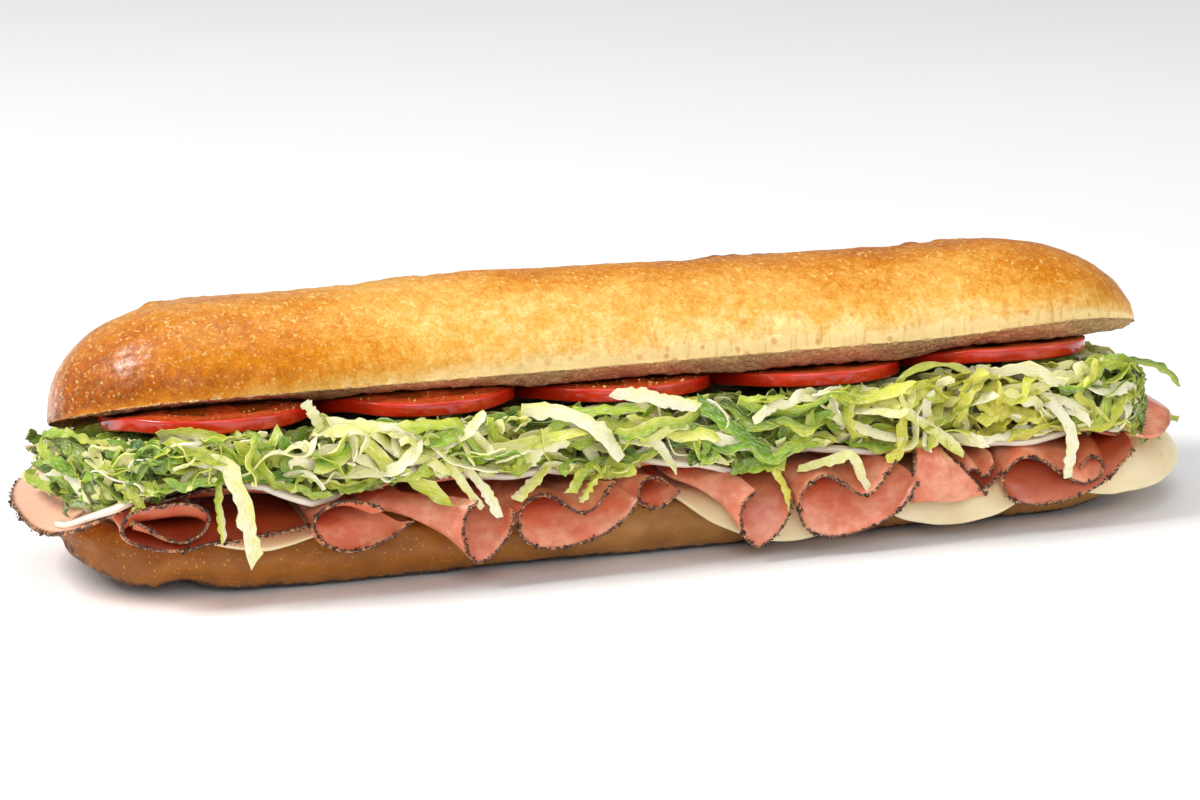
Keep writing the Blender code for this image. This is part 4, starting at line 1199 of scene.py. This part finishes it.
def makeOnions():
    # a superellipse carried along the arc of an ellipse on the flat ham, thinner at both ends
    shape = onionShape
    for number, (node, (centre, radii, angles)) in enumerate(onionArcs.items()):
        angle = np.radians(np.linspace(angles[0] - 6, angles[1] + 6, shape["steps"]))
        x = centre[0] + radii[0] * np.cos(angle)
        y = centre[1] + radii[1] * np.sin(angle)
        y = y - shape["forward"] * smooth((-y - 28.0) / 8.0)
        wobble = 0.5 * latticeNoise(x / 9.0, y / 9.0, 0 * x, 80 + number)
        z = flatHeight(x, y) + layers["ham"] + shape["high"] / 2 + 0.2 + wobble
        path = np.stack([x, y, z], axis=-1)
        ahead = unit(np.gradient(path, axis=0))
        up = unit(np.stack([0 * x, -0.35 + 0 * x, 1 + 0 * x], axis=-1))
        side = unit(np.cross(ahead, up))
        up = unit(np.cross(side, ahead))
        ends = smooth(np.minimum(np.arange(shape["steps"]), np.arange(shape["steps"])[::-1]) / 5.0) * 0.7 + 0.3
        wide = shape["wide"] / 2 * ends * (1 + 0.15 * latticeNoise(x / 6.0, y / 6.0, 0 * x, 85 + number))
        high = shape["high"] / 2 * ends
        rings = sweepShape(path, side, up, wide, high, shape["corners"])
        points, faces = closedLoft(rings, path[0] - ahead[0] * 0.3, path[-1] + ahead[-1] * 0.3)
        along = np.linspace(0.0, 1.0, shape["steps"])
        around = np.linspace(0.0, 1.0, shape["corners"], endpoint=False)
        U, V = np.meshgrid(along * 6.0, around, indexing="ij")
        strip = np.vstack([np.stack([U.ravel(), V.ravel()], axis=1), [[0, 0.5], [6, 0.5]]])
        rind = smooth(np.cos(2 * np.pi * V) * 1.5)
        values = {"rind": np.concatenate([rind.ravel(), [0.0, 0.0]])}
        addPiece(f"onionArc{number + 1}", points, faces, onionMaterial, [node], values, strip)


tomatoSlices = {
    "tomato_1": (-119.5, 29.5), "tomato_2": (-61.0, 27.8), "tomato_3": (-4.0, 28.0), "tomato_4": (53.0, 28.0),
    "tomato_5": (110.0, 28.0),
}
tomatoShape = {"y": -12.0, "steps": 160, "rows": 40, "chambers": 6}


def makeTomatoes():
    # round slices with sunken seed chambers, which the squared cosine of the angle sets out
    shape = tomatoShape
    thick = layers["tomatoThick"]
    for number, (node, (x0, radius)) in enumerate(tomatoSlices.items()):
        def place(x, y, lift):
            z = tomatoTop(x, y) - thick / math.cos(layers["tomatoTilt"]) + lift
            return np.stack([x, y, z + tomatoBulge(x, y)], axis=-1)
        points, faces = sliceSolid((x0, shape["y"]), (radius, radius), 2.0, thick, place, steps=shape["steps"],
                                   rows=shape["rows"], uneven=0.008, seed=number * 9 + 3, blunt=0.3)[:2]
        dx = points[:, 0] - x0
        dy = points[:, 1] - shape["y"]
        r = np.hypot(dx, dy) / radius
        angle = np.arctan2(dy, dx) + number
        lobes = np.cos(angle * shape["chambers"] / 2) ** 2
        gel = smooth((lobes - 0.25) / 0.3) * smooth((r - 0.22) / 0.1) * smooth((0.80 - r) / 0.08)
        skin = smooth((r - 0.965) / 0.012)
        points[:, 2] -= 0.35 * gel * (1 - skin) * np.sign(0.5 - (np.arange(len(points)) > len(points) / 2))
        shade = 0.45 * smooth((points[:, 1] + 30.0) / 8.0)
        values = {"skin": skin, "gel": gel * (1 - skin), "shade": shade * (1 - skin)}
        addPiece(f"tomatoSlice{number + 1}", points, faces, tomatoMaterial, [node], values)


lettuceShape = {
    "endTop": 41.0, "endFall": 0.85, "endStart": 146.0,
    "steps": 22, "across": 5, "frontY": -45.0, "backY": 28.0, "left": -166.0, "right": 167.0,
    "front": 600, "leftEnd": 80, "rightEnd": 80, "back": 150,
}


def lettuceTop(x, y):
    # just under the tomatoes, or under the upper half past them
    under = tomatoTop(x, y) - layers["tomatoThick"] / math.cos(layers["tomatoTilt"]) - 0.6
    return np.minimum(under, rimPlane(y) - 1.0)


def lettuceFloor(x, y):
    # the top of the flat ham, and a gap
    return flatHeight(x, y) + layers["ham"] + 0.4


def stripShapes(paths, twistStart, twistEnd, width, thick, cup, crinkle, wave):
    # a thin flat band carried along each path; its broad side faces the open front, turned by a twist that
    # changes evenly along it, cupped by the square of the place across, crinkled in waves that grow to the
    # edges, uneven in width and cut off aslant
    count, steps = paths.shape[:2]
    s = np.linspace(0.0, 1.0, steps)[None, :]
    ahead = unit(np.gradient(paths, axis=1))
    facing = unit(np.array([-0.25, -0.93, 0.26]))
    side = unit(np.cross(ahead, np.broadcast_to(facing, ahead.shape)))
    out = np.cross(side, ahead)
    turn = (twistStart[:, None] + (twistEnd - twistStart)[:, None] * s)[..., None]
    side, out = side * np.cos(turn) + out * np.sin(turn), out * np.cos(turn) - side * np.sin(turn)
    a = np.linspace(-1.0, 1.0, lettuceShape["across"])
    a = np.concatenate([a, a[::-1]])
    face = np.concatenate([np.ones(lettuceShape["across"]), -np.ones(lettuceShape["across"])])
    ends = np.minimum(s, 1 - s) / 0.1
    taper = 0.82 + 0.18 * smooth(ends) + 0.12 * np.sin(wave[:, 0, None] * 3.1 * s + wave[:, 1, None] * 2.0)
    ragged = np.clip(1 + 0.13 * rng.normal(size=(count, steps, 2)), 0.6, 1.4)
    half = width[:, None] / 2 * taper
    bend = cup[:, None, None] * (a ** 2 - 0.4)
    waves = crinkle[:, None, None] * np.sin(wave[:, 0, None, None] * s[..., None] * 2 * np.pi
                                            + wave[:, 1, None, None] + 1.3 * np.sign(a)) * a ** 2
    body = face * (0.5 - 0.12 * a ** 2) * thick[:, None, None]
    raised = (bend * half[..., None] + waves + body)[..., None] * out[:, :, None]
    slant = ahead[:, :, None] * (np.sin(wave[:, 1, None, None] * 5.0) * 0.9 * a * half[..., None])[..., None]
    across = a * half[..., None] * np.where(a < 0, ragged[..., :1], ragged[..., 1:])
    return paths[:, :, None] + side[:, :, None] * across[..., None] + raised + slant, a, s


def stripFaces(count, steps, corners):
    # the quads round every strip and three quads to close each end
    one = gridFaces(steps, corners, wrap=True)
    half = corners // 2
    caps = np.array([(k, k + 1, corners - 2 - k, corners - 1 - k) for k in range(half - 1)])
    last = caps[:, ::-1] + (steps - 1) * corners
    one = np.concatenate([one[:, ::-1], caps, last])
    return (one[None] + (np.arange(count) * steps * corners)[:, None, None]).reshape(-1, 4)


def randomPaths(middle, length, heading, bend, outward, outBend, wiggle):
    # each path turns evenly in the plane of the open front and leans in or out of it, with one wave on top
    steps = lettuceShape["steps"]
    s = np.linspace(-0.5, 0.5, steps)[None, :]
    turn = heading[:, None] + bend[:, None] * s + wiggle[:, 0, None] * np.sin(2 * np.pi * wiggle[:, 1, None] * s
                                                                              + wiggle[:, 2, None])
    lean = outward[:, None] + outBend[:, None] * s
    ahead = np.stack([np.cos(turn) * np.cos(lean), np.sin(lean), np.sin(turn) * np.cos(lean)], axis=-1)
    path = np.cumsum(ahead, axis=1) * (length / (steps - 1))[:, None, None]
    return path - path.mean(axis=1, keepdims=True) + middle[:, None]


# Shreds listed one by one where they hang over the ham: width, green, warm, twist, then places along the shred
handShreds = (
    (5.6, 0.10, 0.3, 0.1, ((-133, -44, 43), (-124, -48, 41), (-120, -50, 33), (-118, -50, 24), (-116, -50, 14))),
    (2.6, 0.40, 0.2, 0.2, ((-124, -45, 39), (-125, -47, 30), (-124, -48, 20))),
    (4.2, 0.45, 0.1, 0.3, ((-138, -44, 48), (-126, -47, 43), (-113, -47, 42), (-107, -44, 48))),
    (4.0, 0.25, 0.2, -0.4, ((-140, -42, 49), (-130, -44, 49), (-121, -46, 46))),
    (4.0, 0.85, 0.0, 0.5, ((-120, -46, 37), (-106, -47, 36), (-91, -46, 38))),
    (5.0, 0.40, 0.4, 0.2, ((-98, -42, 50), (-86, -46, 44), (-76, -49, 35), (-62, -50, 26))),
    (3.6, 0.15, 0.1, 0.0, ((-100, -43, 55), (-98, -44, 52), (-96, -44, 47))),
    (4.0, 0.20, 0.1, 0.4, ((-94, -44, 49), (-80, -46, 47), (-70, -46, 45))),
    (3.4, 0.10, 0.1, 0.3, ((-68, -46, 36), (-62, -48, 41), (-56, -48, 44), (-51, -47, 49))),
    (3.0, 0.15, 0.2, 0.5, ((-62, -47, 37), (-58, -49, 30), (-53, -50, 23))),
    (3.4, 0.08, 0.1, -0.3, ((-58, -46, 36), (-52, -49, 28), (-48, -50, 20))),
    (4.0, 0.30, 0.3, 0.2, ((-58, -46, 38), (-42, -48, 39), (-27, -48, 41), (-16, -46, 43))),
    (5.0, 0.06, 0.1, 0.1, ((-40, -44, 48), (-27, -47, 46), (-19, -49, 41), (-13, -49, 33))),
    (3.8, 0.20, 0.6, 0.6, ((-43, -49, 24), (-39, -49, 28), (-34, -47, 32))),
    (3.8, 0.60, 0.3, 0.4, ((-28, -50, 25), (-24, -49, 30), (-18, -46, 33))),
    (3.0, 0.45, 0.5, 0.9, ((-25, -50, 22), (-22, -50, 27), (-17, -47, 31))),
    (4.6, 0.04, 0.1, 0.0, ((-14, -45, 51), (-4, -47, 49), (10, -47, 45))),
    (4.0, 0.05, 0.1, 0.7, ((-13, -47, 38), (-4, -49, 37), (1, -49, 31), (3, -48, 28))),
    (5.0, 0.75, 0.0, 0.1, ((10, -46, 47), (20, -48, 38), (31, -48, 30))),
    (4.0, 0.70, 0.1, 0.6, ((8, -47, 39), (12, -48, 35), (11, -48, 31))),
    (5.6, 0.66, 0.1, 0.3, ((20, -47, 27), (27, -49, 28), (35, -48, 27))),
    (2.8, 0.45, 0.8, 0.4, ((30, -48, 29), (34, -50, 21), (36, -50, 15))),
    (3.4, 0.15, 0.3, 0.3, ((39, -47, 25), (48, -49, 27), (54, -50, 28), (57, -50, 21), (60, -50, 17))),
    (3.0, 0.36, 0.3, 0.8, ((70, -41, 43), (73, -42, 48), (82, -42, 50), (92, -42, 47), (94, -43, 43),
                           (86, -43, 43))),
    (4.0, 0.20, 0.2, 0.1, ((67, -44, 46), (71, -46, 39), (81, -48, 31), (88, -48, 25))),
    (3.8, 0.12, 0.2, 0.5, ((54, -44, 44), (50, -46, 40), (60, -48, 34), (70, -48, 31))),
    (4.0, 0.03, 0.1, 0.1, ((111, -44, 39), (116, -48, 36), (120, -50, 28), (119, -50, 16))),
    (4.0, 0.05, 0.1, 0.5, ((112, -45, 39), (120, -47, 37), (127, -46, 33))),
    (5.0, 0.45, 0.9, 0.2, ((96, -46, 35), (106, -47, 35), (114, -46, 32))),
    (4.0, 0.40, 0.9, 0.7, ((92, -46, 41), (97, -47, 37), (104, -46, 41))),
    (3.6, 0.70, 0.1, 0.3, ((140, -36, 32), (148, -34, 27), (151, -32, 19))),
    (3.0, 0.60, 0.2, 0.2, ((150, -26, 29), (157, -23, 20), (164, -19, 10))),
    (3.0, 0.62, 0.1, 0.5, ((144, -24, 41), (153, -20, 40), (162, -16, 37), (168, -13, 33), (171, -12, 29))),
    (2.6, 0.50, 0.2, 0.3, ((154, -24, 24), (161, -20, 23), (168, -18, 21))),
    (4.0, 0.62, 0.0, 0.4, ((-168, -22, 44), (-165, -26, 40), (-158, -30, 36))),
    (3.6, 0.50, 0.1, 0.8, ((-166, -18, 46), (-160, -26, 47), (-152, -32, 44))),
    (4.0, 0.55, 0.5, 0.2, ((-150, -40, 36), (-146, -44, 31), (-149, -45, 27))),
    (4.2, 0.80, 0.0, 0.5, ((-158, -34, 38), (-150, -38, 39), (-140, -40, 37))),
    (3.8, 0.50, 0.1, 0.4, ((-165, 4, 30), (-167, -6, 30), (-162, -18, 30), (-153, -27, 31))),
    (3.4, 0.10, 0.1, 0.2, ((-167, 8, 28), (-165, -10, 29), (-158, -22, 29), (-148, -31, 30))),
    (3.6, 0.66, 0.1, 0.7, ((-166, -6, 35), (-163, -18, 33), (-158, -26, 30))),
    (3.0, 0.30, 0.2, 0.5, ((-162, -14, 38), (-158, -26, 36), (-150, -34, 34), (-143, -39, 33))),
)


def makeLettuceCore():
    # rings along the roll: a smaller heap between the ham and the tomatoes, drawn in at both ends
    x, size = rollStations(26.0, 30.0, 150.0, 90, 16)
    frontY, backY = -37.0, 24.0
    half = 26
    y = np.concatenate([np.linspace(frontY, backY, half), np.linspace(backY, frontY, half)])
    upper = np.arange(2 * half) < half
    X = np.broadcast_to(x[:, None], (len(x), 2 * half))
    Y = np.broadcast_to(y[None, :], X.shape)
    Z = np.where(upper[None, :], lettuceTop(X, Y) - 2.2, lettuceFloor(X, Y) + 0.6)
    rounding = np.sqrt(np.clip(1 - np.abs((Y + 6.5) / 31.0) ** 3, 0.0, 1.0))
    middle = (lettuceTop(X, Y) + lettuceFloor(X, Y)) / 2
    Z = mix(middle, Z, rounding)
    S = size[:, None]
    rings = np.stack([X, mix(-6.0, Y, S), mix(36.0, Z, S ** 0.35)], axis=-1)
    rings[..., 2] += 0.7 * roughness(rings, 5.0, 2, 101)
    rings[..., 1] += 1.4 * roughness(rings, 7.0, 2, 105) * S
    points, faces = closedLoft(rings, np.array([-151.0, -6.0, 36.0]), np.array([151.0, -6.0, 36.0]))
    # the hidden core is a warm deep green, and painted shade darkens it all over
    green = 0.95 + 0.2 * roughness(points, 6.0, 2, 110)
    addPiece("lettuceCore", points, faces, lettuceMaterial, ["lettuce"],
             {"green": green, "warm": 0.7 + 0 * green, "buriedShade": 0.8 + 0 * green}, points[:, :2] / 30.0)


def makeLettuce():
    # shreds at random through the heap and the listed ones, in four pieces by colour
    shape = lettuceShape

    def scatter(count, xs, ys, steep, lengths):
        x = rng.uniform(*xs, count)
        y = rng.uniform(*ys, count)
        low = lettuceFloor(x, y) + 1.5
        high = lettuceTop(x, y) - 1.0
        z = mix(low, np.maximum(high, low + 1.0), rng.uniform(0.0, 1.0, count))
        length = rng.uniform(*lengths, count)
        heading = rng.normal(0.0, steep, count)
        return np.stack([x, y, z], axis=1), length, heading

    lots = [scatter(shape["front"], (-160, 162), (-48.5, -31), 0.62, (15, 38)),
            scatter(shape["leftEnd"], (-160, -138), (-34, 20), 0.6, (12, 24)),
            scatter(shape["rightEnd"], (128, 150), (-40, 20), 0.8, (12, 28)),
            scatter(shape["back"], (-155, 158), (20, 30), 0.35, (14, 30))]
    middle = np.concatenate([lot[0] for lot in lots])
    length = np.concatenate([lot[1] for lot in lots])
    heading = np.concatenate([lot[2] for lot in lots])
    count = len(middle)
    bend = rng.normal(0.0, 1.5, count)
    outward = rng.normal(0.0, 0.28, count)
    outBend = rng.normal(0.0, 1.1, count)
    wiggle = np.stack([rng.uniform(0.0, 0.9, count), rng.uniform(0.8, 2.4, count), rng.uniform(0, 6.3, count)],
                      axis=1)
    paths = randomPaths(middle, length, heading, bend, outward, outBend, wiggle)
    # the sandwich's ends are round, so shreds there stay inside a rounded outline
    x, y, z = paths[..., 0], paths[..., 1], paths[..., 2]
    y = np.clip(y, -50.2, 33.0)
    reach = np.hypot(np.maximum(np.abs(x) - 128.0, 0.0) * np.where(x > 0, 1.7, 1.1), y + 4.0)
    limit = np.where(x > 0, 45.0, 43.0)
    pull = np.where((np.abs(x) > 128.0) & (reach > limit), limit / np.maximum(reach, 1e-6), 1.0)
    x = np.where(np.abs(x) > 128.0, np.sign(x) * (128.0 + (np.abs(x) - 128.0) * pull), x)
    y = np.where(np.abs(x) > 128.0, (y + 4.0) * pull - 4.0, y)
    over = np.where(y < -42.5, -0.4, -1.2)
    top = np.minimum(lettuceTop(x, y) + over, shape["endTop"] - shape["endFall"] * (x - shape["endStart"]))
    low = lettuceFloor(x, y) + np.where(y < -42.0, 3.2, 0.8)
    z = np.minimum(np.maximum(z, low), np.maximum(top, low + 1.2))
    paths = np.stack([x, y, z], axis=-1)
    paths[:, 1:-1] = (paths[:, :-2] + 2 * paths[:, 1:-1] + paths[:, 2:]) / 4
    kind = rng.uniform(0.0, 1.0, count)
    place = middle[:, 0]
    greener = (np.exp(-((place + 150) / 26) ** 2) + np.exp(-((place - 24) / 20) ** 2)
               + 0.8 * np.exp(-((place - 148) / 22) ** 2) + 0.5 * np.exp(-((place + 100) / 20) ** 2))
    yellower = np.exp(-((place - 96) / 30) ** 2)
    # painted shade: shreds further back from the front turn greener and darker
    inner = smooth((middle[:, 1] + 44.0) / 8.0)
    green = np.where(kind < 0.34, rng.uniform(0.0, 0.2, count), rng.uniform(0.3, 0.62, count))
    green = green + (kind >= 0.34) * 0.32 * greener * rng.uniform(0.3, 1.0, count) + 0.16 * inner * (kind > 0.2)
    warm = np.clip(rng.uniform(-0.2, 0.5, count) + 0.6 * yellower * (kind > 0.3), 0, 1)
    width = np.where(green < 0.22, rng.uniform(2.2, 3.6, count), rng.uniform(2.2, 4.4, count))
    twist = rng.normal(0.0, 0.9, count)
    hand = np.array([row[:4] for row in handShreds])
    handPaths = np.stack([smoothLine(row[4], shape["steps"]) for row in handShreds])
    paths = np.concatenate([paths, handPaths])
    green = np.concatenate([green, hand[:, 1]])
    warm = np.concatenate([warm, hand[:, 2]])
    width = np.concatenate([width, hand[:, 0] * 0.8])
    twistStart = np.concatenate([twist, hand[:, 3] - 0.3])
    twistEnd = twistStart + np.concatenate([rng.normal(0.0, 1.5, count), 0.6 + 0 * hand[:, 0]])
    count = len(paths)
    rib = smooth((0.26 - green) / 0.1)
    thick = np.minimum(mix(0.4, 0.75, rib) * rng.uniform(0.8, 1.2, count), 0.24 * width)
    cup = mix(0.2, 0.1, rib) * rng.choice([-1.0, 1.0], count) * rng.uniform(0.4, 1.4, count)
    crinkle = mix(0.55, 0.12, rib) * rng.uniform(0.3, 1.3, count)
    wave = np.stack([rng.uniform(2.0, 6.5, count), rng.uniform(0.0, 6.3, count)], axis=1)
    points, across, along = stripShapes(paths, twistStart, twistEnd, width, thick, cup, crinkle, wave)
    slant = (rng.uniform(-0.26, 0.26, count)[:, None, None] * across
             + rng.uniform(-0.5, 0.5, count)[:, None, None] * (along[..., None] - 0.5))
    greens = np.clip(green[:, None, None] + slant * (1 - 0.6 * rib[:, None, None]), 0.0, 1.0)
    warms = np.broadcast_to(warm[:, None, None], greens.shape)
    # painted shade: 0 on the outside of the heap and 1 about 9 mm in from its front, where the shreds are darkened
    atEnd = np.maximum(np.abs(points[..., 0]) - 128.0, 0.0)
    buriedShade = smooth((points[..., 1] + 46.5 + 0.012 * atEnd ** 2) / 9.0)
    buriedShade = np.where(np.abs(points[..., 0]) > 140.0, 0.3 * buriedShade, buriedShade)
    buriedShade = np.where(points[..., 1] > 15.0, 0.2, buriedShade)
    points[..., 1] = np.clip(points[..., 1], cadLow[1] / mm - 1.5, cadHigh[1] / mm)
    points[..., 0] = np.clip(points[..., 0], cadLow[0] / mm - 3.0, cadHigh[0] / mm + 3.0)
    corners = 2 * shape["across"]
    U = np.broadcast_to(along[..., None] * 6.0, greens.shape)
    V = np.broadcast_to((across[None, None] + 1) / 2, greens.shape) + np.arange(count)[:, None, None] * 1.7
    leafy = (rib <= 0.5) & (warm <= 0.42)
    for name, chosen in (("lettuceRibs", rib > 0.5), ("lettuceHearts", (rib <= 0.5) & (warm > 0.42)),
                         ("lettucePaleLeaves", leafy & (green < 0.5)),
                         ("lettuceDarkLeaves", leafy & (green >= 0.5))):
        part = points[chosen].reshape(-1, 3)
        faces = [stripFaces(int(chosen.sum()), shape["steps"], corners)]
        strip = np.stack([U[chosen].ravel(), V[chosen].ravel()], axis=1)
        values = {"green": greens[chosen], "warm": warms[chosen], "buriedShade": buriedShade[chosen]}
        addPiece(name, part, faces, lettuceMaterial, ["lettuce"], values, strip, sharp=48.0)


# Small bits are eight-sided, each corner at its own distance
bitCorners = np.array([(1, 0, 0), (-1, 0, 0), (0, 1, 0), (0, -1, 0), (0, 0, 1), (0, 0, -1)], float)
bitFaces = np.array([(0, 2, 4), (2, 1, 4), (1, 3, 4), (3, 0, 4), (2, 0, 5), (1, 2, 5), (3, 1, 5), (0, 3, 5)])


def makeBits(name, places, size, flat, material):
    # the eight-sided shape at every place, turned at random and squeezed along one of its own axes
    count = len(places)
    corners = bitCorners[None] * rng.uniform(0.6, 1.25, (count, 6, 1))
    corners = corners * (rng.uniform(*size, count) / 2)[:, None, None]
    corners[..., 2] *= flat
    spin = np.linalg.qr(rng.normal(size=(count, 3, 3)))[0]
    spin[:, :, 0] *= np.linalg.det(spin)[:, None]
    points = np.einsum("nij,nkj->nki", spin, corners) + places[:, None]
    faces = (bitFaces[None] + (np.arange(count) * 6)[:, None, None]).reshape(-1, 3)
    addPiece(name, points.reshape(-1, 3), [faces], material)


def makeSeasoning():
    # pepper along the ham's edges, and herb flecks on the tomatoes where the slices are
    makeBits("pepper", np.concatenate(pepperSpots), (0.3, 0.78), 0.8, pepperMaterial)
    count = 150
    x = rng.uniform(-146.0, 36.0, count)
    y = rng.uniform(-39.0, -30.0, count)
    shares = [np.hypot(x - x0, y - tomatoShape["y"]) / radius for x0, radius in tomatoSlices.values()]
    keep = np.min(shares, axis=0) < 0.97
    x, y = x[keep], y[keep]
    z = tomatoTop(x, y) + tomatoBulge(x, y) + 0.25
    makeBits("herbs", np.stack([x, y, z], axis=1), (0.4, 1.1), 0.35, herbMaterial)


def makeFloor():
    # a wide, plain, pale table top, a little cloudy
    material, tree, shader = newMaterial("paleTable", Roughness=0.7)
    cloud = useGroup(tree, "mottle", objectPlace(tree), Scale=3.0, Low=0.2, High=0.8)
    tree.links.new(blend(tree, cloud, paint(250, 250, 250), paint(246, 246, 247)), shader.inputs["Base Color"])
    mesh = bpy.data.meshes.new("table")
    reach = 6.0
    corners = [(-reach, -reach, 0), (reach, -reach, 0), (reach, reach, 0), (-reach, reach, 0)]
    mesh.from_pydata(corners, [], [(0, 1, 2, 3)])
    mesh.materials.append(material)
    table = bpy.data.objects.new("table", mesh)
    bpy.context.scene.collection.objects.link(table)


# place in metres, size in metres, power in watts, colour
lamps = {
    "key": ((-1.15, 0.0, 1.15), 0.6, 23.0, (1.0, 0.99, 0.97)),
    "front": ((-0.35, -1.6, 0.95), 1.1, 10.0, (1.0, 1.0, 1.0)),
    "top": ((0.2, 0.1, 1.5), 1.2, 6.0, (1.0, 1.0, 1.0)),
    "fill": ((1.3, -0.9, 0.7), 0.8, 5.5, (1.0, 1.0, 1.0)),
}


def makeLights():
    # square lamps that face the middle of the sandwich, and a white surround
    for name, (place, size, power, colour) in lamps.items():
        light = bpy.data.lights.new(name, "AREA")
        light.size = size
        light.energy = power
        light.color = colour
        lamp = bpy.data.objects.new(name, light)
        lamp.location = place
        lamp.rotation_euler = Vector(place).to_track_quat("Z", "Y").to_euler()
        bpy.context.scene.collection.objects.link(lamp)
    world = bpy.data.worlds.new("studio")
    world.use_nodes = True
    world.node_tree.nodes["Background"].inputs[0].default_value = (1.0, 1.0, 1.0, 1.0)
    world.node_tree.nodes["Background"].inputs[1].default_value = 0.36
    bpy.context.scene.world = world
    bpy.context.scene.view_settings.view_transform = "Standard"


camera = {"azimuth": -18.0, "elevation": 14.5, "roll": 0.3, "distance": 1.295, "lens": 136.9,
          "aside": -0.005, "above": 0.0367}


def makeCamera():
    # looks from the azimuth and elevation at a point a little above the middle of the box's underside
    azimuth, elevation, roll = (math.radians(camera[key]) for key in ("azimuth", "elevation", "roll"))
    right = np.array([math.cos(azimuth), math.sin(azimuth), 0.0])
    up = np.array([-math.sin(azimuth) * math.sin(elevation), math.cos(azimuth) * math.sin(elevation),
                   math.cos(elevation)])
    back = np.cross(right, up)
    tiltedRight = right * math.cos(roll) - up * math.sin(roll)
    tiltedUp = up * math.cos(roll) + right * math.sin(roll)
    middle = np.array([(cadLow[0] + cadHigh[0]) / 2, (cadLow[1] + cadHigh[1]) / 2, cadLow[2]])
    place = middle + tiltedRight * camera["aside"] + tiltedUp * camera["above"] + back * camera["distance"]
    lens = bpy.data.cameras.new("view")
    lens.lens = camera["lens"]
    lens.sensor_width = 36.0
    eye = bpy.data.objects.new("view", lens)
    turned = Matrix((tiltedRight, tiltedUp, back)).transposed().to_4x4()
    turned.translation = place
    eye.matrix_world = turned
    bpy.context.scene.collection.objects.link(eye)
    bpy.context.scene.camera = eye


makeCamera()
makeLights()
makeFloor()
print("camera, lights and table ready")
makeUpperBread()
makeLowerBread()
makeCheeses()
makeFolds()
makeHangingHam()
makeFlatHams()
makeOnions()
makeTomatoes()
makeLettuceCore()
makeLettuce()
makeSeasoning()
